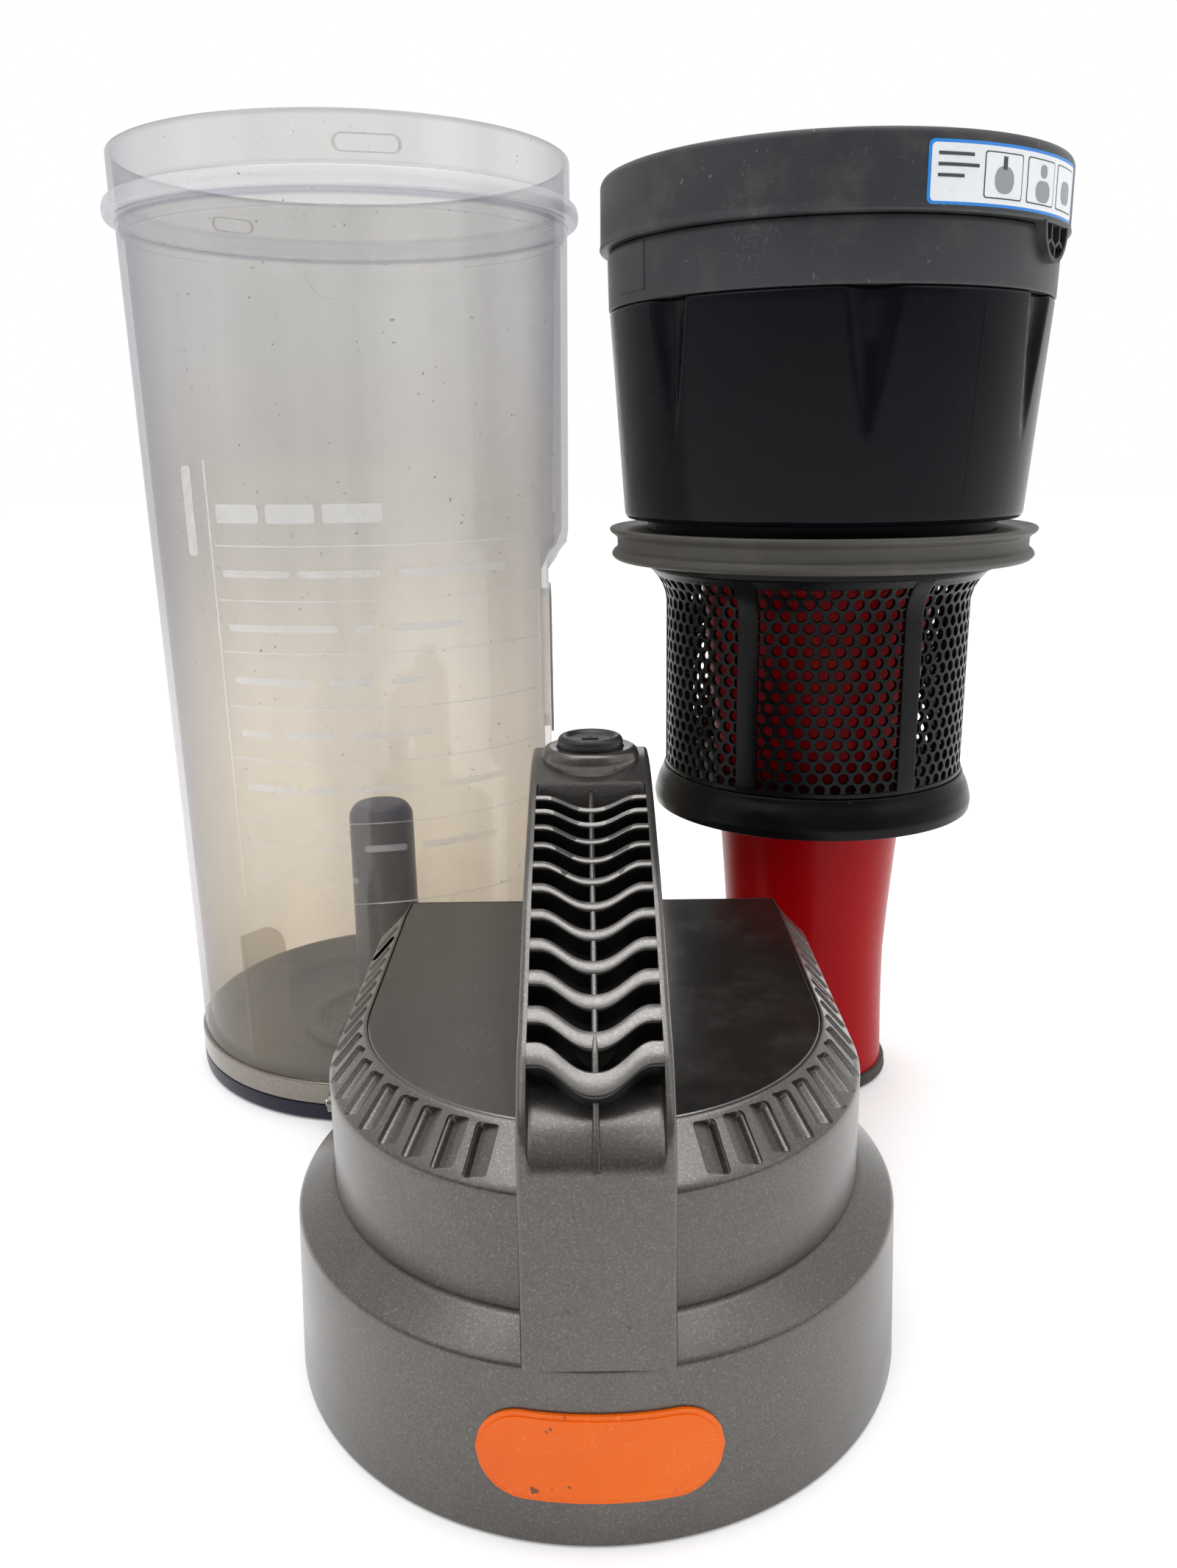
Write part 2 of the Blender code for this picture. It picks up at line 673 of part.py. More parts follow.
def build_latch():
    toe = -STRIKE_OUT - CATCH_CLEARANCE
    front = -HINGE_Y - KNUCKLE_R
    lever = prism(
        "door_latch",
        [
            (-HINGE_Y + 1.8 * MM, LATCH_TOP),
            (-HINGE_Y - 1.0 * MM, LATCH_TOP),
            (front, HINGE_Z + 6 * MM),
            (front, HINGE_Z - 3 * MM),
            (toe - 3.0 * MM, 0.8 * MM),
            (toe, 0.8 * MM),
            (toe, 2.8 * MM),
            (-HINGE_Y - 1.0 * MM, HINGE_Z - KNUCKLE_R + 0.4 * MM),
            (-HINGE_Y + 1.2 * MM, HINGE_Z - KNUCKLE_R + 0.8 * MM),
            (-HINGE_Y + KNUCKLE_R - 0.9 * MM, HINGE_Z - 1.2 * MM),
            (-HINGE_Y + KNUCKLE_R - 0.9 * MM, HINGE_Z + 1.2 * MM),
            (-HINGE_Y + 1.8 * MM, HINGE_Z + 5 * MM),
        ],
        -EAR_IN + GAP,
        EAR_IN - GAP,
        "X",
        material=BLACK,
        frame=latch_frame,
    )
    cut(lever, rod_along_x("latch_bore", PIN_R + PIN_CLEARANCE, EAR_IN, -HINGE_Y, HINGE_Z))


# ---- Cyclone assembly ----
def build_housing():
    """Filter cup with the collar, the clamp ring below it and the instruction label."""
    where = {"frame": cyclone_frame, "place": CYCLONE_AT}
    floor = CLAMP_BOTTOM + 2.0 * MM
    well = HOUSING_R - 2.4 * MM
    housing = turned(
        "filter_housing",
        [
            (16 * MM, floor),
            (HOUSING_R, floor),
            (HOUSING_R, COLLAR_BOTTOM),
            (COLLAR_R, COLLAR_BOTTOM),
            (COLLAR_R, COLLAR_TOP - 1.0 * MM),
            (COLLAR_R - 1.0 * MM, COLLAR_TOP),
            (COLLAR_R - COLLAR_WALL, COLLAR_TOP),
            (COLLAR_R - COLLAR_WALL, FILTER_STEP),
            (well, FILTER_STEP),
            (well, CUP_FLOOR),
            (16 * MM, CUP_FLOOR),
        ],
        material=DARK_GREY,
        **where,
    )
    lug = prism(
        "key_lug_blank",
        key_outline(COLLAR_BOTTOM, 0.0),
        -KEY_REACH,
        -CLAMP_R - GAP,
        "Y",
        KEY_BEARING,
        place=CYCLONE_AT,
    )
    join(housing, lug)
    turned(
        "clamp_ring",
        [
            (HOUSING_R - 4 * MM, CLAMP_BOTTOM),
            (CLAMP_R - 0.4 * MM, CLAMP_BOTTOM),
            (CLAMP_R, CLAMP_TOP - 1.0 * MM),
            (CLAMP_R, CLAMP_TOP),
            (HOUSING_R + GAP, CLAMP_TOP),
            (HOUSING_R + GAP, CLAMP_BOTTOM + 1.7 * MM),
            (HOUSING_R - 4 * MM, CLAMP_BOTTOM + 1.7 * MM),
        ],
        material=MID_GREY,
        **where,
    )
    label = patch_shape(
        lambda z: COLLAR_R, 10.0, 62.0, COLLAR_BOTTOM + 1.7 * MM, COLLAR_TOP - 3.6 * MM, GAP, 0.4 * MM, 8
    )
    add_mesh("instruction_label", label, WHITE, **where)


def cone_spots():
    step = math.tau / CONE_COUNT
    return [(CONE_RING_R * math.cos(step * i), CONE_RING_R * math.sin(step * i)) for i in range(CONE_COUNT)]


def screw_spots():
    step = math.tau / 3
    radius = CONE_RING_R + 27 * MM
    return [
        (radius * math.cos(step * i + math.pi / 6), radius * math.sin(step * i + math.pi / 6)) for i in range(3)
    ]


def shapes_at(spots, profile, segments):
    shapes = []
    for x, y in spots:
        shape = turned_shape(profile, segments)
        bmesh.ops.translate(shape, vec=(x, y, 0.0), verts=shape.verts)
        shapes.append(shape)
    return merged(shapes)


def build_cyclone():
    where = {"frame": cyclone_frame, "place": CYCLONE_AT}
    neck = BODY_FOOT_R - 9 * MM
    neck_bottom = SHROUD_TOP + GAP
    turned(
        "cyclone_body",
        [
            (neck - BODY_WALL, neck_bottom),
            (neck, neck_bottom),
            (neck, BODY_BOTTOM - 1.8 * MM),
            (BODY_FOOT_R - 1.5 * MM, BODY_BOTTOM - 1.8 * MM),
            (BODY_FOOT_R, BODY_BOTTOM),
            (BODY_TOP_R, BODY_TOP),
            (BODY_TOP_R - BODY_WALL, BODY_TOP),
            (BODY_FOOT_R - BODY_WALL, BODY_SILL),
            (neck - BODY_WALL, BODY_SILL),
        ],
        material=BLACK,
        **where,
    )

    tray_z = SEAL_BOTTOM + 5.0 * MM
    pack = turned(
        "cone_pack",
        [
            (0.0, CONE_PLATE_Z),
            (CONE_PLATE_R, CONE_PLATE_Z),
            (CONE_PLATE_R, CONE_PLATE_Z + 2.5 * MM),
            (0.0, CONE_PLATE_Z + 2.5 * MM),
        ],
        MEDIUM,
        material=BLACK,
        **where,
    )
    tray = turned(
        "cone_tray",
        [
            (0.0, tray_z),
            (COLLECTOR_TOP_R, tray_z),
            (COLLECTOR_TOP_R, tray_z + 2.2 * MM),
            (0.0, tray_z + 2.2 * MM),
        ],
        MEDIUM,
        place=CYCLONE_AT,
    )
    low = tray_z - 3.0 * MM
    outer_cone = [(0.0, low), (7.2 * MM, low), (14.4 * MM, CONE_PLATE_Z + 1 * MM), (0.0, CONE_PLATE_Z + 1 * MM)]
    inner_low = low - 1.0 * MM
    inner_high = CONE_PLATE_Z + 5 * MM
    inner_cone = [(0.0, inner_low), (5.4 * MM, inner_low), (13.0 * MM, inner_high), (0.0, inner_high)]
    cones = add_mesh("cone_blanks", shapes_at(cone_spots(), outer_cone, SMALL), place=CYCLONE_AT)
    bores = add_mesh("cone_bores", shapes_at(cone_spots(), inner_cone, SMALL), place=CYCLONE_AT)
    screw_hole = SCREW_R + PIN_CLEARANCE
    gasket_z = CONE_PLATE_Z + 2.5 * MM + GAP
    vortex_z = gasket_z + 2.0 * MM + GAP
    holes = drill("cone_screw_bores", screw_spots(), screw_hole, CONE_PLATE_Z - 2 * MM, vortex_z + 6 * MM, CYCLONE_AT)
    join(pack, tray, cones)
    cut(pack, bores, holes)

    vortex = turned(
        "vortex_plate",
        [(0.0, vortex_z), (CONE_PLATE_R, vortex_z), (CONE_PLATE_R, vortex_z + 2.4 * MM), (0.0, vortex_z + 2.4 * MM)],
        MEDIUM,
        material=DARK_GREY,
        **where,
    )
    finder_low = vortex_z - 16 * MM
    finder = [(0.0, finder_low), (6.4 * MM, finder_low), (6.4 * MM, vortex_z + 1 * MM), (0.0, vortex_z + 1 * MM)]
    passage = [
        (0.0, finder_low - 1 * MM),
        (5.0 * MM, finder_low - 1 * MM),
        (5.0 * MM, vortex_z + 5 * MM),
        (0.0, vortex_z + 5 * MM),
    ]
    join(vortex, add_mesh("finder_blanks", shapes_at(cone_spots(), finder, SMALL), place=CYCLONE_AT))
    cut(vortex, add_mesh("finder_bores", shapes_at(cone_spots(), passage, SMALL), place=CYCLONE_AT), holes)
    turned(
        "cone_gasket",
        [
            (CONE_PLATE_R - 6 * MM, gasket_z),
            (CONE_PLATE_R, gasket_z),
            (CONE_PLATE_R, gasket_z + 2.0 * MM),
            (CONE_PLATE_R - 6 * MM, gasket_z + 2.0 * MM),
        ],
        MEDIUM,
        material=RUBBER,
        **where,
    )
    for i, (x, y) in enumerate(screw_spots()):
        screw(f"cone_screw_{i + 1}", x, y, vortex_z + 2.4 * MM, 7.0 * MM, material=STEEL, **where)

    turned(
        "bin_seal",
        [
            (neck + GAP, SEAL_BOTTOM),
            (SEAL_R - 1.6 * MM, SEAL_BOTTOM),
            (SEAL_R - 0.6 * MM, SEAL_BOTTOM + 2.0 * MM),
            (SEAL_R - 2.6 * MM, SEAL_BOTTOM + 5.0 * MM),
            (SEAL_R - 2.6 * MM, SEAL_TOP - 5.0 * MM),
            (SEAL_R, SEAL_TOP - 1.4 * MM),
            (SEAL_R - 0.6 * MM, SEAL_TOP),
            (neck + GAP, SEAL_TOP),
        ],
        material=TAUPE,
        **where,
    )

    flare = SHROUD_R + 6.5 * MM
    wall = 1.8 * MM
    turned(
        "mesh_shroud",
        [
            (SHROUD_R - wall, SHROUD_BOTTOM),
            (SHROUD_R, SHROUD_BOTTOM),
            (SHROUD_R, SHROUD_TOP - 9 * MM),
            (SHROUD_R + 1.6 * MM, SHROUD_TOP - 4.5 * MM),
            (flare, SHROUD_TOP - 1.4 * MM),
            (flare, SHROUD_TOP),
            (SHROUD_R - wall, SHROUD_TOP),
        ],
        material=BLACK,
        **where,
    )

    skirt_top = SHROUD_BOTTOM - GAP
    sleeve = collector_r(skirt_top) + 0.7 * MM
    turned(
        "shroud_skirt",
        [
            (sleeve, skirt_top - 2.4 * MM),
            (SHROUD_R - 1.0 * MM, skirt_top - 2.4 * MM),
            (SKIRT_R - 2.2 * MM, SKIRT_LOW + 2.6 * MM),
            (SKIRT_R - 2.2 * MM, SKIRT_LOW),
            (SKIRT_R, SKIRT_LOW),
            (SKIRT_R, SKIRT_LOW + 3.2 * MM),
            (SHROUD_R + 1.6 * MM, skirt_top - 2.0 * MM),
            (SHROUD_R + 1.0 * MM, skirt_top),
            (sleeve, skirt_top),
        ],
        MEDIUM,
        material=BLACK,
        **where,
    )

    wall = 1.8 * MM
    top = tray_z - GAP
    heights = [COLLECTOR_FOOT, COLLECTOR_FOOT + 0.2 * top, 0.45 * top, 0.6 * top, 0.8 * top, top]
    outside = [(collector_r(z), z) for z in heights]
    inside = [(collector_r(z) - wall, z) for z in reversed(heights)]
    turned("dust_collector", outside + inside, MEDIUM, material=RED, **where)
    foot_r = collector_r(COLLECTOR_FOOT)
    turned(
        "collector_seal",
        [
            (foot_r - 5.5 * MM, 0.0),
            (foot_r + 1.2 * MM, 0.0),
            (foot_r + 2.0 * MM, 1.2 * MM),
            (foot_r + 1.6 * MM, COLLECTOR_FOOT - GAP),
            (foot_r - 5.5 * MM, COLLECTOR_FOOT - GAP),
        ],
        MEDIUM,
        material=RUBBER,
        **where,
    )


COLLECTOR_FOOT = 5.4 * MM


def collector_r(z):
    """Outer radius of the red collector: narrowest about a quarter of the way up, widest at the top."""
    waist = 0.25 * SEAL_BOTTOM
    if z < waist:
        return COLLECTOR_WAIST_R + 1.3 * MM * (1 - z / waist) ** 2
    share = (z - waist) / (SEAL_BOTTOM - waist)
    return COLLECTOR_WAIST_R + (COLLECTOR_TOP_R - COLLECTOR_WAIST_R - 0.6 * MM) * share ** 1.15


# ---- Filter that lifts out of the housing ----
def build_filter():
    where = {"frame": filter_frame_empty, "place": CYCLONE_AT}
    well = HOUSING_R - 2.4 * MM
    radius = well - 1.0 * MM
    turned(
        "felt_pad",
        [(0.0, CUP_FLOOR + GAP), (radius, CUP_FLOOR + GAP), (radius, FELT_TOP), (0.0, FELT_TOP)],
        material=FELT,
        **where,
    )
    turned(
        "foam_filter",
        [(0.0, FELT_TOP + GAP), (radius, FELT_TOP + GAP), (radius, FOAM_TOP), (0.0, FOAM_TOP)],
        material=FOAM,
        **where,
    )
    flange = COLLAR_R - COLLAR_WALL - 0.5 * MM
    step = FILTER_STEP + GAP
    bar_low = FOAM_TOP + GAP
    bar_high = BAR_TOP
    carrier = turned(
        "filter_frame",
        [
            (radius + GAP, step),
            (flange, step),
            (flange, step + 2.2 * MM),
            (radius + 2.4 * MM, step + 2.2 * MM),
            (radius + 2.4 * MM, bar_high),
            (radius - 6 * MM, bar_high),
            (radius - 6 * MM, bar_low),
            (radius + GAP, bar_low),
        ],
        material=BLACK,
        **where,
    )
    arm = radius - 3 * MM
    bars = [
        prism_shape(box_outline(-arm, arm, -5 * MM, 5 * MM), bar_low, bar_high),
        prism_shape(box_outline(-5 * MM, 5 * MM, -arm, arm), bar_low, bar_high - 0.2 * MM),
    ]
    for i, bar in enumerate(bars):
        join(carrier, add_mesh(f"filter_bar_{i}", bar, place=CYCLONE_AT))
    ears = []
    for low, high in ((15.3 * MM, 18 * MM), (-18 * MM, -15.3 * MM)):
        ears.append(
            prism_shape(
                box_outline(PULL_Y - 2.6 * MM, PULL_Y + 10.0 * MM, bar_low + 0.4 * MM, PULL_Z + 1.6 * MM),
                low,
                high,
                "X",
            )
        )
    join(carrier, add_mesh("pull_ears", merged(ears), place=CYCLONE_AT))
    bore = rod_along_x("pull_bore", 1.3 * MM, 20 * MM, PULL_Y, PULL_Z, place=CYCLONE_AT)
    cut(carrier, bore)

    pull_where = {"frame": pull_frame, "place": CYCLONE_AT}
    low = PULL_Z - 1.0 * MM
    high = PULL_Z + 1.0 * MM
    loop = prism(
        "filter_pull",
        [(-14.8 * MM, PULL_Y - 1 * MM), (14.8 * MM, PULL_Y - 1 * MM), (14.8 * MM, PULL_Y + 24 * MM)]
        + [(9.8 * MM, PULL_Y + 29 * MM), (-9.8 * MM, PULL_Y + 29 * MM), (-14.8 * MM, PULL_Y + 24 * MM)],
        low,
        high,
        material=RED,
        **pull_where,
    )
    window = prism(
        "pull_window",
        [(-11 * MM, PULL_Y + 3 * MM), (11 * MM, PULL_Y + 3 * MM), (11 * MM, PULL_Y + 22 * MM)]
        + [(8 * MM, PULL_Y + 25 * MM), (-8 * MM, PULL_Y + 25 * MM), (-11 * MM, PULL_Y + 22 * MM)],
        low - 1 * MM,
        high + 1 * MM,
        place=CYCLONE_AT,
    )
    stub = rod_along_x("pull_stub", 0.95 * MM, 17.4 * MM, PULL_Y, PULL_Z, 8, place=CYCLONE_AT)
    cut(loop, window)
    join(loop, stub)


# ---- Lid: painted shell with its rear duct, top plate, liner, seal and badge ----
ROOF = 2.6 * MM
PLATE_THICK = 1.4 * MM
LINER_TOP = LID_SKIRT_TALL - 2.1 * MM
CORNER_IN = 8.6 * MM
CORNER_BACK = 21.0 * MM


def dome_outline(half, shift, rear, corner_in, corner_back):
    """Plan of the lid's upper part: a half circle in front, straight sides and cut rear corners."""
    steps = 20
    points = []
    for i in range(steps + 1):
        angle = math.pi + math.pi * i / steps
        points.append((half * math.cos(angle), shift + half * math.sin(angle)))
    points.append((half, rear - corner_back))
    points.append((half - corner_in, rear))
    points.append((-half + corner_in, rear))
    points.append((-half, rear - corner_back))
    return points


def loft_shape(levels):
    """Closed solid through a list of (outline, height) levels with equal point counts."""
    shape = bmesh.new()
    rings = [[shape.verts.new((x, y, z)) for x, y in outline] for outline, z in levels]
    count = len(rings[0])
    for near, far in zip(rings, rings[1:]):
        for i in range(count):
            shape.faces.new((near[i], near[(i + 1) % count], far[(i + 1) % count], far[i]))
    shape.faces.new(rings[0])
    shape.faces.new(rings[-1])
    return shape


def skirt_profile(grow):
    """Outer profile of the round skirt and shoulder, down to the axis."""
    radius = RIM_R + SKIRT_CLEARANCE + SKIRT_WALL + grow
    return [
        (0.0, -grow),
        (radius, -grow),
        (radius - 1.8 * MM, LID_SKIRT_TALL + grow * 0.4),
        (BAND_R + 1.1 * MM + grow, SHOULDER_TOP + grow * 0.4),
        (0.0, SHOULDER_TOP + grow * 0.4),
    ]


def dome_levels(grow):
    band = dome_outline(BAND_R + grow, 0.0, LID_REAR + grow, CORNER_IN, CORNER_BACK)
    edge = PLATE_HALF + 0.8 * MM + grow
    crown = dome_outline(edge, PLATE_SHIFT, PLATE_REAR + 0.8 * MM + grow, 0.1 * MM, 12 * MM)
    return [(band, LID_SKIRT_TALL + 0.4 * MM - grow), (band, BAND_TOP), (crown, LID_TOP + grow)]


def rear_leg_screw_spots():
    return [(-9.0 * MM, BUTTON_Y + 8 * MM), (9.0 * MM, BUTTON_Y + 8 * MM)]


def build_lid():
    where = {"frame": lid_frame, "place": LID_AT}
    shell = turned("lid_shell", skirt_profile(0.0), material=PEWTER, **where)
    join(shell, add_mesh("lid_dome_blank", loft_shape(dome_levels(0.0)), place=LID_AT))
    lip = RIM_R + SKIRT_CLEARANCE
    lip_top = 18.0 * MM
    ceiling = LINER_TOP + GAP
    hollow = turned(
        "lid_hollow",
        [
            (0.0, -5 * MM),
            (lip, -5 * MM),
            (lip, lip_top),
            (lip - 2.0 * MM, lip_top + 1.0 * MM),
            (lip - 2.0 * MM, ceiling),
            (BAND_R - 3.0 * MM, ceiling),
            (BAND_R - 3.0 * MM, SHOULDER_TOP),
            (0.0, SHOULDER_TOP),
        ],
        place=LID_AT,
    )
    roof_low = LID_TOP - PLATE_THICK - GAP - ROOF
    inner = dome_outline(BAND_R - 2.4 * MM, 0.0, LID_REAR - 2.4 * MM, CORNER_IN, CORNER_BACK)
    neck = dome_outline(PLATE_HALF - 3.0 * MM, PLATE_SHIFT, PLATE_REAR - 3.0 * MM, 0.1 * MM, 12 * MM)
    plenum = add_mesh(
        "lid_plenum",
        loft_shape([(inner, LID_SKIRT_TALL + 3.0 * MM), (inner, BAND_TOP - 2.4 * MM), (neck, roof_low)]),
        place=LID_AT,
    )
    seat = dome_outline(PLATE_HALF + GAP, PLATE_SHIFT, PLATE_REAR + GAP, 0.1 * MM, 12 * MM)
    recess = add_mesh(
        "CONE_PLATE_Recess",
        loft_shape([(seat, LID_TOP - PLATE_THICK - GAP), (seat, LID_TOP + 5 * MM)]),
        place=LID_AT,
    )
    port = prism(
        "duct_port",
        box_outline(-45 * MM, 45 * MM, LID_SKIRT_TALL + 5.3 * MM, BAND_TOP - 15.3 * MM),
        LID_REAR - 8 * MM,
        LID_REAR + 8 * MM,
        "Y",
        place=LID_AT,
    )
    slot = prism(
        "catch_slot",
        box_outline(-5.5 * MM, 5.5 * MM, CATCH_Z - 4.6 * MM, BAND_TOP + 1.9 * MM),
        LID_REAR - 8 * MM,
        LID_REAR + 8 * MM,
        "Y",
        place=LID_AT,
    )
    cut(shell, hollow, plenum, recess, port, slot)
    ears = []
    for low, high in ((6.4 * MM, 9.4 * MM), (-9.4 * MM, -6.4 * MM)):
        outline = box_outline(CATCH_Y - 4 * MM, CATCH_Y + 4 * MM, CATCH_Z - 4 * MM, roof_low + 1 * MM)
        ears.append(prism_shape(outline, low, high, "X"))
    join(shell, add_mesh("catch_ears", merged(ears), place=LID_AT))
    pin_bore = rod_along_x("catch_bore", PIN_R + PIN_CLEARANCE, 12 * MM, CATCH_Y, CATCH_Z, place=LID_AT)
    rod_hole = drill("rod_hole", [(0.0, BUTTON_Y)], ROD_R + 0.8 * MM, roof_low - 2 * MM, LID_TOP + 5 * MM, LID_AT)
    leg_holes = drill(
        "leg_screw_holes",
        rear_leg_screw_spots(),
        SCREW_R + PIN_CLEARANCE,
        roof_low - 2 * MM,
        LID_TOP + 11 * MM,
        LID_AT,
    )
    liner_holes = drill(
        "liner_screw_holes",
        liner_screw_spots(),
        SCREW_R + PIN_CLEARANCE,
        LINER_TOP - 4 * MM,
        LINER_TOP + 5.4 * MM,
        LID_AT,
    )
    cut(shell, pin_bore, rod_hole, leg_holes, liner_holes)
    rod_along_x("catch_pin", PIN_R, 9.2 * MM, CATCH_Y, CATCH_Z, material=STEEL, **where)

    sheet = dome_outline(PLATE_HALF, PLATE_SHIFT, PLATE_REAR, 0.1 * MM, 12 * MM)
    plate = add_mesh("lid_top_plate", loft_shape([(sheet, LID_TOP - PLATE_THICK), (sheet, LID_TOP)]), PLATE, **where)
    cut(plate, rod_hole, leg_holes)

    wall_in = COLLAR_R - 4.4 * MM
    wall_out = COLLAR_R - 2.0 * MM
    flange = LINER_TOP - 2.6 * MM
    liner = turned(
        "lid_liner",
        [
            (wall_in, LID_SEAL_Z + 4.6 * MM),
            (wall_out, LID_SEAL_Z + 4.6 * MM),
            (wall_out, flange),
            (lip - 2.4 * MM, flange),
            (lip - 2.4 * MM, LINER_TOP),
            (BAND_R - 5.0 * MM, LINER_TOP),
            (BAND_R - 5.0 * MM, flange),
            (wall_in, flange),
        ],
        material=BLACK,
        **where,
    )
    cut(liner, liner_holes)
    turned(
        "lid_seal",
        [
            (wall_in - 1.0 * MM, LID_SEAL_Z),
            (COLLAR_R - 0.2 * MM, LID_SEAL_Z),
            (COLLAR_R - 0.2 * MM, LID_SEAL_Z + 4.3 * MM),
            (wall_in - 1.0 * MM, LID_SEAL_Z + 4.3 * MM),
        ],
        material=TAUPE,
        **where,
    )
    for i, (x, y) in enumerate(liner_screw_spots()):
        screw(f"liner_screw_{i + 1}", x, y, flange, 7.2 * MM, material=STEEL, points_down=False, **where)
    for i, (x, y) in enumerate(rear_leg_screw_spots()):
        screw(f"leg_screw_{i + 1}", x, y, roof_low, 14.0 * MM, material=STEEL, points_down=False, **where)

    def skirt_radius(z):
        return RIM_R + SKIRT_CLEARANCE + SKIRT_WALL - 1.8 * MM * z / LID_SKIRT_TALL

    badge = patch_shape(skirt_radius, -18.6, 18.6, 13.4 * MM, 38.0 * MM, GAP, 0.9 * MM, 8)
    add_mesh("front_badge", badge, ORANGE, **where)


def liner_screw_spots():
    radius = BAND_R - 0.9 * MM
    return [
        (radius * math.cos(math.radians(45 + 90 * i)), radius * math.sin(math.radians(45 + 90 * i))) for i in range(4)
    ]


# ---- Handle: a loop from the skirt's front over to a rear leg, with the release button ----
ROD_R = 2.6 * MM
SKIN = 3.0 * MM
BOSS_R = 15.0 * MM


def smooth_curve(points, steps):
    """Points on a Catmull-Rom curve through the given ones."""
    ends = [points[0]] + list(points) + [points[-1]]
    curve = []
    for a, b, c, d in zip(ends, ends[1:], ends[2:], ends[3:]):
        a, b, c, d = Vector(a), Vector(b), Vector(c), Vector(d)
        for i in range(steps):
            t = i / steps
            curve.append(
                0.5
                * (2 * b + (c - a) * t + (2 * a - 5 * b + 4 * c - d) * t * t + (3 * b - a - 3 * c + d) * t * t * t)
            )
    curve.append(Vector(points[-1]))
    return curve


def offset_curve(curve, distance):
    """The curve moved to its right-hand side by a distance."""
    moved = []
    for i, point in enumerate(curve):
        ahead = curve[min(i + 1, len(curve) - 1)] - curve[max(i - 1, 0)]
        ahead.normalize()
        moved.append(point + Vector((ahead.y, -ahead.x)) * distance)
    return moved


def handle_top():
    """Side view of the grip's top, from the corner above the front panel back to the button."""
    rise = GRIP_TOP
    points = [
        (-72.5 * MM, rise - 46.0 * MM),
        (-55.0 * MM, rise - 37.0 * MM),
        (-22.0 * MM, rise - 20.4 * MM),
        (5.0 * MM, rise - 10.6 * MM),
        (27.0 * MM, rise - 3.8 * MM),
        (46.0 * MM, rise),
        (62.0 * MM, rise),
    ]
    return smooth_curve(points, 3)


def handle_under():
    """Side view of the grip's underside, from the finger gap's front up and over to the rear leg."""
    rise = GRIP_TOP
    points = [
        (-60.0 * MM, LID_TOP + 0.4 * MM),
        (-53.0 * MM, rise - 58.0 * MM),
        (-40.0 * MM, rise - 51.0 * MM),
        (-18.0 * MM, rise - 41.0 * MM),
        (6.0 * MM, rise - 32.5 * MM),
        (24.0 * MM, rise - 28.0 * MM),
        (33.0 * MM, rise - 29.5 * MM),
        (37.0 * MM, rise - 36.5 * MM),
    ]
    return smooth_curve(points, 2)


def in_span(curve, low, high):
    return [point for point in curve if low <= point.x <= high]


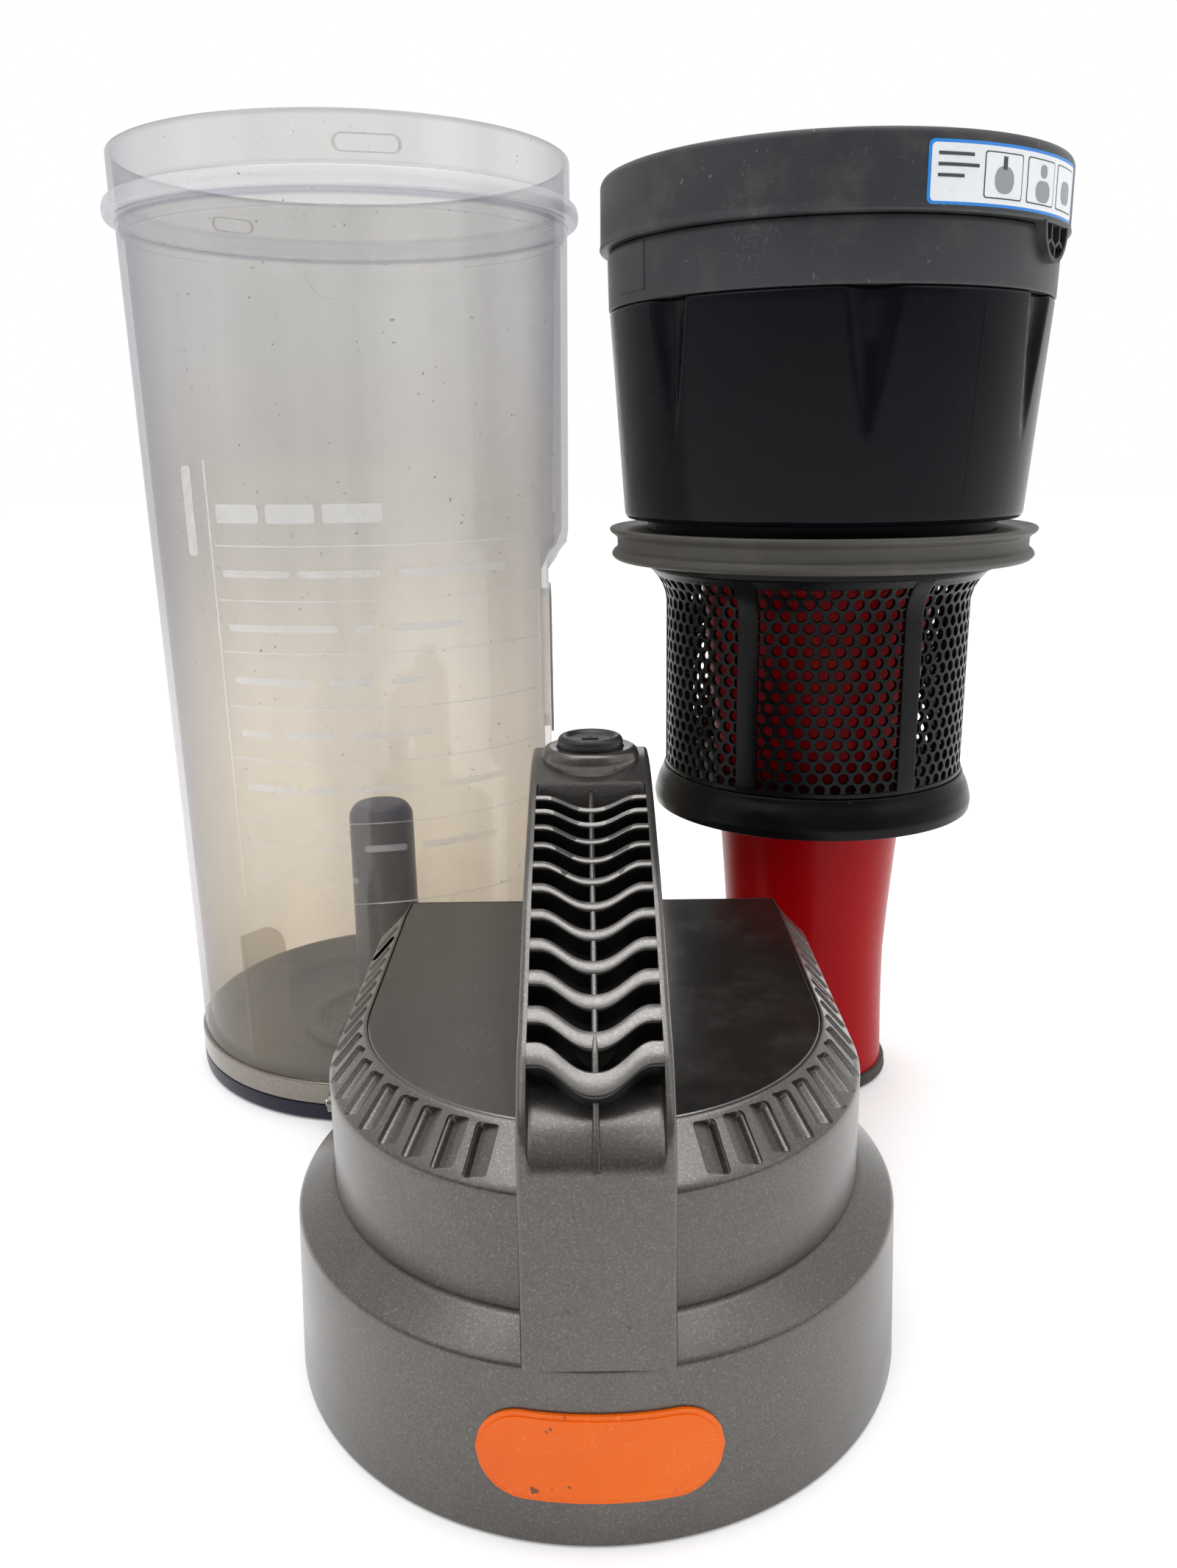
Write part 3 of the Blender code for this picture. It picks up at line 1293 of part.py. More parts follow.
def build_handle():
    where = {"frame": lid_frame, "place": LID_AT}
    half = HANDLE_WIDE / 2
    skirt_r = RIM_R + SKIRT_CLEARANCE + SKIRT_WALL
    foot = LID_TOP + GAP
    front = [
        (-skirt_r + 14 * MM, LID_SKIRT_TALL + GAP),
        (-skirt_r + 1.6 * MM, LID_SKIRT_TALL + GAP),
        (-skirt_r + 5.8 * MM, BAND_TOP),
        (-skirt_r + 9.0 * MM, GRIP_TOP - 56.0 * MM),
    ]
    rear = [(66.0 * MM, GRIP_TOP - 3.6 * MM), (67.5 * MM, GRIP_TOP - 12 * MM), (66.0 * MM, foot)]
    leg_front = [(38.0 * MM, foot)]
    outline = front + [tuple(p) for p in handle_top()] + rear + leg_front
    outline += [tuple(p) for p in reversed(handle_under())]
    outline += [(-60.0 * MM, BAND_TOP - 5 * MM)]
    handle = prism("handle_frame", outline, -half, half, "X", material=PEWTER, **where)
    grown_skirt = turned("skirt_room", skirt_profile(GAP), place=LID_AT)
    grown_dome = add_mesh("dome_room", loft_shape(dome_levels(GAP)), place=LID_AT)
    cut(handle, grown_skirt, grown_dome)

    top = in_span(offset_curve(handle_top(), SKIN), -58 * MM, 30 * MM)
    under = in_span(offset_curve(handle_under(), 1.0 * MM), -50 * MM, 27 * MM)
    channel = [tuple(p) for p in top] + [tuple(p) for p in reversed(under)]
    inner = half - 3.2 * MM
    cut(handle, prism("grip_channel", channel, -inner, inner, "X", place=LID_AT))

    pitch = 11.5 * MM
    rib = 3.4 * MM
    spine = 1.1 * MM
    rail = half - 3.6 * MM
    windows = []
    for i in range(WINDOWS):
        along = -51.0 * MM + pitch * i * 0.62
        spot = point_on_top(along)
        ahead = (point_on_top(along + 1 * MM) - point_on_top(along - 1 * MM)).normalized()
        across = Vector((-ahead.y, ahead.x))
        size = (pitch * 0.62 - rib) / 2 / max(ahead.x, 0.5)
        corners = [
            spot - ahead * size + across * 4 * MM,
            spot + ahead * size + across * 4 * MM,
            spot + ahead * size - across * 6 * MM,
            spot - ahead * size - across * 6 * MM,
        ]
        for low, high in ((spine, rail), (-rail, -spine)):
            windows.append(prism_shape([tuple(c) for c in corners], low, high, "X"))
    cut(handle, add_mesh("rib_windows", merged(windows), place=LID_AT))

    boss = drill("button_boss", [(0.0, BUTTON_Y)], BOSS_R, GRIP_TOP - 6 * MM, GRIP_TOP + 4.0 * MM, LID_AT)
    bore_shape = turned_shape(
        [
            (0.0, LID_TOP - 5 * MM),
            (ROD_R + 0.8 * MM, LID_TOP - 5 * MM),
            (ROD_R + 0.8 * MM, GRIP_TOP - 20 * MM),
            (BUTTON_R + 0.5 * MM, GRIP_TOP - 20 * MM),
            (BUTTON_R + 0.5 * MM, GRIP_TOP + 9 * MM),
            (0.0, GRIP_TOP + 9 * MM),
        ],
        16,
    )
    bmesh.ops.translate(bore_shape, vec=(0.0, BUTTON_Y, 0.0), verts=bore_shape.verts)
    bore = add_mesh("button_bore", bore_shape, place=LID_AT)
    leg_holes = drill(
        "leg_blind_holes",
        rear_leg_screw_spots(),
        SCREW_R + PIN_CLEARANCE,
        LID_TOP - 5 * MM,
        LID_TOP + 11 * MM,
        LID_AT,
    )
    join(handle, boss)
    cut(handle, bore, leg_holes)

    liner_top = in_span(offset_curve(handle_top(), SKIN + 2.4 * MM), -55 * MM, 27 * MM)
    liner_low = in_span(offset_curve(handle_top(), SKIN + 3.6 * MM), -54.5 * MM, 27 * MM)
    outline = [tuple(p) for p in liner_top] + [tuple(p) for p in reversed(liner_low)]
    side = inner - GAP
    prism("handle_liner", outline, -side, side, "X", material=BLACK, **where)

    cover_top = in_span(offset_curve(handle_under(), -2.6 * MM), -44 * MM, 25.5 * MM)
    cover_low = in_span(handle_under(), -46 * MM, 25.5 * MM)
    outline = [tuple(p) for p in cover_top] + [tuple(p) for p in reversed(cover_low)]
    prism("handle_underside", outline, -side, side, "X", material=DARK_GREY, **where)


WINDOWS = 11


def point_on_top(y):
    """The grip's top at a given lid-frame y."""
    curve = handle_top()
    for near, far in zip(curve, curve[1:]):
        if near.x <= y <= far.x:
            return near.lerp(far, (y - near.x) / (far.x - near.x))
    return curve[-1]


def coil_shape(radius, wire, low, high, turns, per_turn, sides):
    """A compression spring's wire as one closed tube along a helix."""
    shape = bmesh.new()
    rings = []
    count = turns * per_turn
    rise = (high - low - 2 * wire) / count
    for i in range(count + 1):
        angle = math.tau * i / per_turn
        out = Vector((math.cos(angle), math.sin(angle), 0.0))
        centre = out * radius + Vector((0.0, BUTTON_Y, low + wire + rise * i))
        ring = []
        for j in range(sides):
            turn = math.tau * j / sides
            ring.append(shape.verts.new(centre + out * wire * math.cos(turn) + Vector((0, 0, wire * math.sin(turn)))))
        rings.append(ring)
    for near, far in zip(rings, rings[1:]):
        for j in range(sides):
            shape.faces.new((near[j], near[(j + 1) % sides], far[(j + 1) % sides], far[j]))
    shape.faces.new(rings[0])
    shape.faces.new(rings[-1])
    return shape


def build_button():
    where = {"frame": button_frame, "place": LID_AT}
    floor = GRIP_TOP - 20 * MM
    button_low = GRIP_TOP - 5.6 * MM
    cap_top = GRIP_TOP + 7.4 * MM
    shape = turned_shape(
        [
            (0.0, button_low - 5 * MM),
            (4.0 * MM, button_low - 5 * MM),
            (4.0 * MM, button_low),
            (BUTTON_R, button_low),
            (BUTTON_R, cap_top - 1.4 * MM),
            (BUTTON_R - 1.4 * MM, cap_top),
            (BUTTON_R - 3.0 * MM, cap_top - 0.3 * MM),
            (0.0, cap_top - 1.0 * MM),
        ],
        MEDIUM,
    )
    bmesh.ops.translate(shape, vec=(0.0, BUTTON_Y, 0.0), verts=shape.verts)
    add_mesh("release_button", shape, BLACK, **where)
    rod_low = CATCH_Z + CATCH_THICK / 2 + ROD_CLEARANCE
    rod_high = button_low - 5 * MM - GAP
    rod = turned_shape([(0.0, rod_low), (ROD_R, rod_low), (ROD_R, rod_high), (0.0, rod_high)], SMALL)
    bmesh.ops.translate(rod, vec=(0.0, BUTTON_Y, 0.0), verts=rod.verts)
    add_mesh("push_rod", rod, DARK_GREY, **where)
    spring = coil_shape(7.0 * MM, 0.5 * MM, floor + GAP, button_low - GAP, 4, 10, 6)
    add_mesh("button_spring", spring, STEEL, lid_frame, LID_AT)


CATCH_THICK = 5.0 * MM


def build_catch():
    """See-saw in the roof: the rod presses its front end, and its nose lifts behind the lid."""
    half = CATCH_THICK / 2
    nose = LID_REAR + 5.0 * MM
    lever = prism(
        "lock_catch",
        [
            (BUTTON_Y - 4 * MM, CATCH_Z - half),
            (nose, CATCH_Z - half),
            (nose, CATCH_Z - half - 4.0 * MM),
            (nose + 2.6 * MM, CATCH_Z - half - 1.0 * MM),
            (nose + 2.6 * MM, CATCH_Z + half - 1.0 * MM),
            (nose + 1.2 * MM, CATCH_Z + half - 0.4 * MM),
            (CATCH_Y + 6 * MM, CATCH_Z + half - 0.4 * MM),
            (CATCH_Y, CATCH_Z + half + 1.4 * MM),
            (CATCH_Y - 6 * MM, CATCH_Z + half),
            (BUTTON_Y - 4 * MM, CATCH_Z + half),
        ],
        -4.8 * MM,
        4.8 * MM,
        "X",
        material=BLACK,
        frame=catch_frame,
        place=LID_AT,
    )
    cut(lever, rod_along_x("catch_pivot_bore", PIN_R + PIN_CLEARANCE, 8 * MM, CATCH_Y, CATCH_Z, place=LID_AT))


build_bin()
build_foot()
build_door()
build_latch()
build_housing()
build_cyclone()
build_filter()
build_lid()
build_handle()
build_button()
build_catch()
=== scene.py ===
import math

import bmesh
import bpy
from mathutils import Matrix, Vector


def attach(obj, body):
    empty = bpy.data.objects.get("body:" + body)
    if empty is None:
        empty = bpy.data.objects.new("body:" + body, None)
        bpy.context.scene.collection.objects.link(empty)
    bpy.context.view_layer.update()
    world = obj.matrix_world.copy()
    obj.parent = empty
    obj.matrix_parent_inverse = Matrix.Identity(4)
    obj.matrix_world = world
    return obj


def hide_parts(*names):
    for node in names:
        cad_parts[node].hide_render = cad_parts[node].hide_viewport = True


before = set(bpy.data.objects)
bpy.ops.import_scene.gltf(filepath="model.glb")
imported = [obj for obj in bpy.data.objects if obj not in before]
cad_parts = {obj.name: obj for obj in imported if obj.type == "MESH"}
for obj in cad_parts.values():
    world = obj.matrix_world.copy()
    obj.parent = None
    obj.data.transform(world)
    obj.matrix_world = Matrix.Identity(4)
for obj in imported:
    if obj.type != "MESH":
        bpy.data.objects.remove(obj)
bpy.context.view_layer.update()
MM = 0.001


# ---- Clear bin tube ----
# The dust bin is one injection-moulded tube of clear plastic, hazed by years of fine scratches, with a painted
# highlight and painted shade lines at its bead and rim.
# A collar band and a bead stiffen its mouth, a flat on one side carries the air inlet, and a thin
# fin inside keeps the dust from turning. Its foot is glued into the ring under it.
class Field:
    """A shader socket that works like a number, so a pattern is written as a sum."""

    def __init__(self, tree, socket=None):
        self.tree = tree
        self.socket = socket

    def node(self, kind, settings=None, inputs=None, output=0):
        """Adds a node: its settings first, then the value or link of each input."""
        made = self.tree.nodes.new(kind)
        for key, value in (settings or {}).items():
            if key == "stops":
                ramp = made.color_ramp
                while len(ramp.elements) < len(value):
                    ramp.elements.new(0.5)
                for element, (place, colour) in zip(ramp.elements, value):
                    element.position = place
                    element.color = (*colour, 1.0)
            else:
                setattr(made, key, value)
        for key, value in (inputs or {}).items():
            if isinstance(value, Field):
                self.tree.links.new(value.socket, made.inputs[key])
            else:
                made.inputs[key].default_value = value
        return Field(self.tree, made.outputs[output])

    def math(self, operation, other, swapped=False):
        first, second = (other, self) if swapped else (self, other)
        return self.node("ShaderNodeMath", {"operation": operation}, {0: first, 1: second})

    def __add__(self, other):
        return self.math("ADD", other)

    __radd__ = __add__

    def __sub__(self, other):
        return self.math("SUBTRACT", other)

    def __rsub__(self, other):
        return self.math("SUBTRACT", other, True)

    def __mul__(self, other):
        return self.math("MULTIPLY", other)

    __rmul__ = __mul__

    def __truediv__(self, other):
        return self.math("DIVIDE", other)

    def __rtruediv__(self, other):
        return self.math("DIVIDE", other, True)

    def __pow__(self, other):
        return self.math("POWER", other)

    def __gt__(self, other):
        return self.math("GREATER_THAN", other)

    def __lt__(self, other):
        return self.math("LESS_THAN", other)


def new_material(name):
    """An empty material with a Principled shader: (material, shader node, start of a pattern)."""
    material = bpy.data.materials.new(name)
    material.use_nodes = True
    tree = material.node_tree
    return material, tree.nodes["Principled BSDF"], Field(tree)


def place_of(field):
    return field.node("ShaderNodeTexCoord", output=3)


def noise_at(field, where, scale, detail=3.0, roughness=0.55, stretch=(1, 1, 1)):
    if stretch != (1, 1, 1):
        where = field.node("ShaderNodeMapping", inputs={"Vector": where, "Scale": stretch})
    return field.node(
        "ShaderNodeTexNoise", inputs={"Vector": where, "Scale": scale, "Detail": detail, "Roughness": roughness}
    )


def between(field, value, low, high, to_low=0.0, to_high=1.0):
    return field.node(
        "ShaderNodeMapRange",
        inputs={"Value": value, "From Min": low, "From Max": high, "To Min": to_low, "To Max": to_high},
    )


def mixed(field, factor, first, second):
    """A colour between two, each an (r, g, b) or a link."""
    colours = [(*c, 1.0) if isinstance(c, tuple) else c for c in (first, second)]
    return field.node(
        "ShaderNodeMix", {"data_type": "RGBA"}, {0: factor, 6: colours[0], 7: colours[1]}, 2
    )


def bump_from(field, height, strength, distance):
    return field.node("ShaderNodeBump", inputs={"Strength": strength, "Distance": distance, "Height": height})


def feed(tree, node, **sockets):
    """Sets or links the shader's inputs, named with underscores."""
    for key, value in sockets.items():
        name = key.replace("_", " ")
        if isinstance(value, Field):
            tree.links.new(value.socket, node.inputs[name])
        elif isinstance(value, tuple) and len(value) == 3:
            node.inputs[name].default_value = (*value, 1.0)
        else:
            node.inputs[name].default_value = value


def scratches_at(field, where, scale, width=0.02, turn=0.5):
    """Thin crossing scratches, each a band where a stretched noise passes its middle."""
    total = None
    for angle in (turn, turn + 1.1, turn + 2.3):
        turned = field.node(
            "ShaderNodeMapping", inputs={"Vector": where, "Rotation": (angle * 0.4, angle, angle)},
        )
        streaks = noise_at(field, turned, scale * 7.0, 0.0, 0.5, (0.035, 1.0, 1.0))
        line = between(field, abs_of(streaks - 0.5), width * 0.4, width * 1.4, 1.0, 0.0)
        patch = between(field, noise_at(field, turned, scale * 0.45, 3.0), 0.56, 0.72)
        part = line * patch
        total = part if total is None else total.math("MAXIMUM", part)
    return total


def abs_of(value):
    return value.node("ShaderNodeMath", {"operation": "ABSOLUTE"}, {0: value})


def rounded(points, steps=3):
    """A closed outline with each (a, b, radius) corner made round; (a, b) corners stay sharp."""
    result = []
    count = len(points)
    for i, point in enumerate(points):
        corner = Vector(point[:2])
        radius = point[2] if len(point) > 2 else 0.0
        before = Vector(points[i - 1][:2]) - corner
        after = Vector(points[(i + 1) % count][:2]) - corner
        reach = min(radius, before.length * 0.48, after.length * 0.48)
        if reach < 1e-6:
            result.append(tuple(corner))
            continue
        start = corner + before.normalized() * reach
        end = corner + after.normalized() * reach
        for k in range(steps + 1):
            t = k / steps
            spot = start * (1 - t) ** 2 + corner * 2 * t * (1 - t) + end * t * t
            result.append(tuple(spot))
    return result


def mesh_piece(name, verts, faces, place, body, slot_name, material, sharp=35.0):
    """A mesh in an assembly's own frame, put in its place and tied to its body."""
    mesh = bpy.data.meshes.new(name)
    mesh.from_pydata([Vector(v) for v in verts], [], faces)
    shape = bmesh.new()
    shape.from_mesh(mesh)
    bmesh.ops.remove_doubles(shape, verts=shape.verts, dist=1e-6)
    bmesh.ops.dissolve_degenerate(shape, edges=shape.edges, dist=1e-7)
    bmesh.ops.recalc_face_normals(shape, faces=shape.faces)
    shape.to_mesh(mesh)
    shape.free()
    mesh.shade_smooth()
    mesh.set_sharp_from_angle(angle=math.radians(sharp))
    piece = bpy.data.objects.new(name, mesh)
    bpy.context.scene.collection.objects.link(piece)
    piece.location = place
    mesh.materials.append(material)
    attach(piece, body)
    return piece


def lathe_grid(outline, segments, radius_at=None, start=0.0, end=math.tau):
    """Points and faces of a closed (radius, height) outline swept round Z."""
    whole = abs(end - start - math.tau) < 1e-9
    rings = segments if whole else segments + 1
    verts = []
    for i in range(rings):
        angle = start + (end - start) * i / segments
        for r, z in outline:
            if radius_at:
                r = radius_at(r, angle, z)
            verts.append((r * math.cos(angle), r * math.sin(angle), z))
    count = len(outline)
    faces = []
    for i in range(segments):
        near = i * count
        far = ((i + 1) % rings) * count
        for j in range(count):
            nxt = (j + 1) % count
            faces.append((near + j, near + nxt, far + nxt, far + j))
    if not whole:
        faces.append(tuple(range(count)))
        faces.append(tuple(range((rings - 1) * count, rings * count)))
    return verts, faces


def along(outline, spacing):
    """The outline with extra points, so that no step is longer than spacing."""
    result = []
    for i, a in enumerate(outline):
        b = outline[(i + 1) % len(outline)]
        steps = max(1, math.ceil(math.dist(a, b) / spacing))
        result += [(a[0] + (b[0] - a[0]) * k / steps, a[1] + (b[1] - a[1]) * k / steps) for k in range(steps)]
    return result


def cut_away(piece, cutters, operation="DIFFERENCE"):
    """Applies Booleans with the given objects, which are then removed."""
    for cutter in cutters:
        modifier = piece.modifiers.new("cut", "BOOLEAN")
        modifier.object = cutter
        modifier.operation = operation
        modifier.solver = "EXACT"
    bpy.context.view_layer.update()
    graph = bpy.context.evaluated_depsgraph_get()
    result = bpy.data.meshes.new_from_object(piece.evaluated_get(graph), depsgraph=graph)
    result.shade_smooth()
    result.set_sharp_from_angle(angle=math.radians(35))
    piece.modifiers.clear()
    piece.data = result
    for cutter in cutters:
        bpy.data.objects.remove(cutter, do_unlink=True)
    return piece


def loose_mesh(name, verts, faces, place=(0, 0, 0)):
    """A helper mesh for a Boolean, not tied to a body."""
    mesh = bpy.data.meshes.new(name)
    mesh.from_pydata([Vector(v) for v in verts], [], faces)
    shape = bmesh.new()
    shape.from_mesh(mesh)
    bmesh.ops.recalc_face_normals(shape, faces=shape.faces)
    shape.to_mesh(mesh)
    shape.free()
    helper = bpy.data.objects.new(name, mesh)
    helper.location = place
    bpy.context.scene.collection.objects.link(helper)
    return helper


def stack(rings, capped=True):
    """Points and faces through equal rings of 3-D points, closed at both ends."""
    count = len(rings[0])
    verts = [p for ring in rings for p in ring]
    faces = []
    for i in range(len(rings) - 1):
        for j in range(count):
            nxt = (j + 1) % count
            faces.append((i * count + j, i * count + nxt, (i + 1) * count + nxt, (i + 1) * count + j))
    if capped:
        faces.append(tuple(range(count)))
        faces.append(tuple(range((len(rings) - 1) * count, len(rings) * count)))
    return verts, faces


bin_at = Vector((0, 0, 0))
rim_r = 87.7 * MM
tube_top = 368.0 * MM
bead_z = 347.7 * MM
foot_top = 17.1 * MM


def tube_radius(z):
    return (82.3 + 4.3 * (z - 16.8 * MM) / (330.9 * MM)) * MM


def flat_limit(radius, angle, z):
    """Flattens the side that faces +X, with sloped ends to the flat."""
    plane = 76.15 * MM
    low, high = 28.0 * MM, 225.3 * MM
    if radius < 60 * MM:
        return radius
    wall = 2.8 * MM * (radius < tube_radius(z) - 1.4 * MM)
    ends = max(low - z, z - high) + 10.6 * MM - wall * 0.4
    limit = (plane - wall + max(0.0, ends)) / max(0.2, math.cos(angle - math.radians(2.0)))
    gap = limit - radius
    soft = 0.8 * MM
    if gap > soft:
        return radius
    if gap < -soft:
        return limit
    return radius - (soft - gap) ** 2 / (4 * soft)


ledge = 339.5 * MM
outer = rounded(
    [
        (81.2 * MM, 7.6 * MM, 0.4 * MM),
        (81.2 * MM, foot_top, 0.2 * MM),
        (82.3 * MM, foot_top, 0.3 * MM),
        (tube_radius(bead_z - 3.4 * MM), bead_z - 3.4 * MM, 1.0 * MM),
        (90.4 * MM, bead_z - 3.4 * MM, 1.6 * MM),
        (91.2 * MM, bead_z, 1.2 * MM),
        (90.2 * MM, bead_z + 3.4 * MM, 1.8 * MM),
        (rim_r, bead_z + 3.6 * MM, 1.6 * MM),
        (rim_r, tube_top, 0.9 * MM),
        (rim_r - 2.2 * MM, tube_top, 0.9 * MM),
        (rim_r - 2.2 * MM, ledge, 1.2 * MM),
        (tube_radius(ledge) - 2.8 * MM, ledge, 1.4 * MM),
        (79.5 * MM, 16.8 * MM, 0.5 * MM),
        (79.5 * MM, 7.6 * MM, 0.4 * MM),
    ],
    4,
)
verts, faces = lathe_grid(along(outer, 4.5 * MM), 224, flat_limit)
inlet_z = 173.5 * MM
clear_bin, clear_shader, clear = new_material("clear_haze")
bin_tube = mesh_piece("clear_bin_tube", verts, faces, bin_at, "bin", "clear_plastic", clear_bin)


def block(x0, x1, y0, y1, z0, z1, turn=0.0, edge=0.0):
    """Points and faces of a box with rounded upright edges, turned about Z in degrees."""
    plan = rounded([(x0, y0, edge), (x1, y0, edge), (x1, y1, edge), (x0, y1, edge)], 4 if edge else 1)
    c, s = math.cos(math.radians(turn)), math.sin(math.radians(turn))
    rings = [[(x * c - y * s, x * s + y * c, z) for x, y in plan] for z in (z0, z1)]
    return stack(rings)


def radial_plate(outline, near, far, bearing):
    """An (across, height) outline pushed outwards from near to far, facing a bearing from the front."""
    angle = math.radians(bearing - 90.0)
    out = Vector((math.cos(angle), math.sin(angle), 0))
    side = Vector((-out.y, out.x, 0))
    rings = [[out * r + side * a + Vector((0, 0, z)) for a, z in outline] for r in (near, far)]
    return stack(rings)


def port_ring(grow):
    """The inlet port's outline, grown by a margin."""
    return rounded(
        [
            (x * (15 * MM + grow), inlet_z + z * (28 * MM + grow), 4 * MM + grow)
            for x, z in ((-1, -1), (1, -1), (1, 1), (-1, 1))
        ],
        4,
    )


key_pocket = rounded(
    [
        (12.4 * MM * math.cos(a * math.pi / 12), ledge - 12.4 * MM * math.sin(a * math.pi / 12))
        for a in range(13)
    ]
    + [(-12.4 * MM, ledge + 1 * MM), (12.4 * MM, ledge + 1 * MM)]
)
cut_away(
    bin_tube,
    [
        loose_mesh("inlet_port", *radial_plate(port_ring(0.0), 60 * MM, 90 * MM, 92.0)),
        loose_mesh("key_pocket", *radial_plate(key_pocket, 79 * MM, 84.7 * MM, -165.0)),
    ],
)


def pill_boss(name, bearing_from, bearing_to, low, high):
    """A raised pill outline on the rim band, as a rounded bar bent round the wall."""
    middle = (low + high) / 2
    half = (high - low) / 2
    steps = 10
    length = math.radians(bearing_to - bearing_from) * rim_r / 2 - half
    loop = []
    for end, sign in ((length, 1), (-length, -1)):
        for k in range(steps + 1):
            a = -math.pi / 2 + math.pi * k / steps
            loop.append((end + sign * half * math.cos(a), middle + sign * half * math.sin(a)))
    centre = math.radians((bearing_from + bearing_to) / 2 - 90.0)
    rings = []
    for a, z in loop:
        angle = centre + a / rim_r
        out = Vector((math.cos(angle), math.sin(angle), 0))
        tangent = Vector((a, z - middle)).normalized()
        ring = []
        for k in range(6):
            turn = math.tau * k / 6
            lift = 0.45 * MM * math.cos(turn)
            aside = 0.6 * MM * math.sin(turn)
            spot = out * (rim_r + lift)
            spot = spot + Vector((-out.y, out.x, 0)) * aside * tangent.x + Vector((0, 0, z + aside * tangent.y))
            ring.append(spot)
        rings.append(ring)
    rings.append(rings[0])
    points, sides = stack(rings, capped=False)
    return mesh_piece(name, points, sides, bin_at, "bin", "clear_plastic", clear_bin)


pill_boss("rim_mark_near", 7.7, 22.0, 355.0 * MM, 360.5 * MM)
pill_boss("rim_mark_far", -142.0, -129.5, 353.5 * MM, 359.0 * MM)

fin_outline = rounded(
    [
        (80.4 * MM, 18.3 * MM),
        (80.9 * MM, 73.0 * MM),
        (65.5 * MM, 73.0 * MM, 6 * MM),
        (59.6 * MM, 66.0 * MM, 8 * MM),
        (59.6 * MM, 18.3 * MM),
    ],
    5,
)
fin_angle = math.radians(-36.0 - 90.0)
fin_out = Vector((math.cos(fin_angle), math.sin(fin_angle), 0))
fin_side = Vector((-fin_out.y, fin_out.x, 0))
rings = [
    [fin_out * (70 * MM + (r - 70 * MM) * share) + fin_side * d + Vector((
        0, 0, 46 * MM + (z - 46 * MM) * share,
    )) for r, z in fin_outline]
    for d, share in ((-1.0 * MM, 0.985), (-0.7 * MM, 1.0), (0.7 * MM, 1.0), (1.0 * MM, 0.985))
]
mesh_piece("dust_fin", *stack(rings), bin_at, "bin", "clear_plastic", clear_bin)
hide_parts("bin_tube")

spot = place_of(clear)
fog = noise_at(clear, spot, 9.0, 4.0)
wipe = noise_at(clear, spot, 24.0, 3.0, 0.5, (1.0, 1.0, 0.06))
fine_lines = scratches_at(clear, spot, 90.0, 0.014, 0.3)
grit = between(clear, noise_at(clear, spot, 420.0, 2.0), 0.735, 0.76)
height = clear.node("ShaderNodeSeparateXYZ", inputs={0: spot}, output=2)
# Warmer and hazier towards the bottom of the tube.
low_tint = between(clear, height, 0.02, 0.30, 1.0, 0.0)
# Painted highlight: the haze turns whiter and thicker on a band round the bead.
bead_highlight = between(clear, abs_of(height - 0.3477), 0.0025, 0.0042, 1.0, 0.0)
# Painted shade: thin darker lines under the bead, just above it and at the rim's top edge.
bead_edge_shade = between(clear, abs_of(height - 0.3436), 0.0004, 0.0016, 1.0, 0.0)
rim_edge_shade = between(clear, height, 0.3662, 0.3674) + between(
    clear, abs_of(height - 0.3520), 0.0003, 0.0012, 1.0, 0.0,
) * 0.5
haze = (
    0.02 + fog * 0.08 + between(clear, wipe, 0.35, 0.68) * 0.10 + fine_lines * 0.10 + low_tint * 0.06
    + grit * 0.5 + bead_highlight * 0.20
)
haze_colour = mixed(clear, low_tint * 0.8, (0.46, 0.455, 0.44), (0.44, 0.39, 0.30))
haze_colour = mixed(clear, bead_highlight, haze_colour, (0.74, 0.74, 0.78))
haze_colour = mixed(clear, grit * 0.9, haze_colour, (0.10, 0.09, 0.07))
feed(clear.tree, clear_shader, Base_Color=haze_colour, Roughness=0.42, IOR=1.46)
clear_shader.inputs["Specular IOR Level"].default_value = 0.4
edge_on = clear.node("ShaderNodeLayerWeight", inputs={"Blend": 0.5}, output=1)
sheen = between(clear, noise_at(clear, spot, 15.0, 2.0, 0.5, (1.0, 1.0, 0.04)), 0.38, 0.64)
through = mixed(clear, sheen, (0.885, 0.88, 0.875), (0.94, 0.935, 0.93))
through = mixed(clear, low_tint, through, (0.89, 0.85, 0.785))
through = mixed(clear, edge_on ** 3.0, through, (0.47, 0.47, 0.54))
# The painted shade lines darken what shows through at the bead and the rim.
through = mixed(clear, bead_edge_shade * 0.35, through, (0.42, 0.40, 0.52))
through = mixed(clear, rim_edge_shade * 0.35, through, (0.50, 0.50, 0.52))
plain = clear.node("ShaderNodeBsdfTransparent", inputs={"Color": through})
gloss = clear.node("ShaderNodeBsdfGlossy", inputs={"Color": (1, 1, 1, 1), "Roughness": 0.09})
rim_light = edge_on ** 5.0 * 0.55 + 0.035
glassy = clear.node("ShaderNodeMixShader", inputs={0: rim_light, 1: plain, 2: gloss})
body_of_haze = Field(clear.tree, clear_shader.outputs[0])
finished = clear.node("ShaderNodeMixShader", inputs={0: haze, 1: glassy, 2: body_of_haze})
output = clear.tree.nodes["Material Output"]
clear.tree.links.new(finished.socket, output.inputs["Surface"])


pale_seal, seal_shader, soft = new_material("pale_inlet_seal")
spot = place_of(soft)
film = noise_at(soft, spot, 60.0, 4.0)
feed(
    soft.tree, seal_shader, Base_Color=mixed(soft, film, (0.52, 0.51, 0.49), (0.64, 0.63, 0.61)),
    Roughness=between(soft, film, 0.3, 0.7, 0.40, 0.55),
)


seal_line = port_ring(2.4 * MM)
seal_plate = radial_plate(seal_line, 76.3 * MM, 77.3 * MM, 92.0)
inlet_seal = mesh_piece("inlet_seal_ring", *seal_plate, bin_at, "bin", "black_rubber", pale_seal)
cut_away(inlet_seal, [loose_mesh("seal_opening", *radial_plate(port_ring(0.2 * MM), 70 * MM, 90 * MM, 92.0))])
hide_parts("inlet_seal")


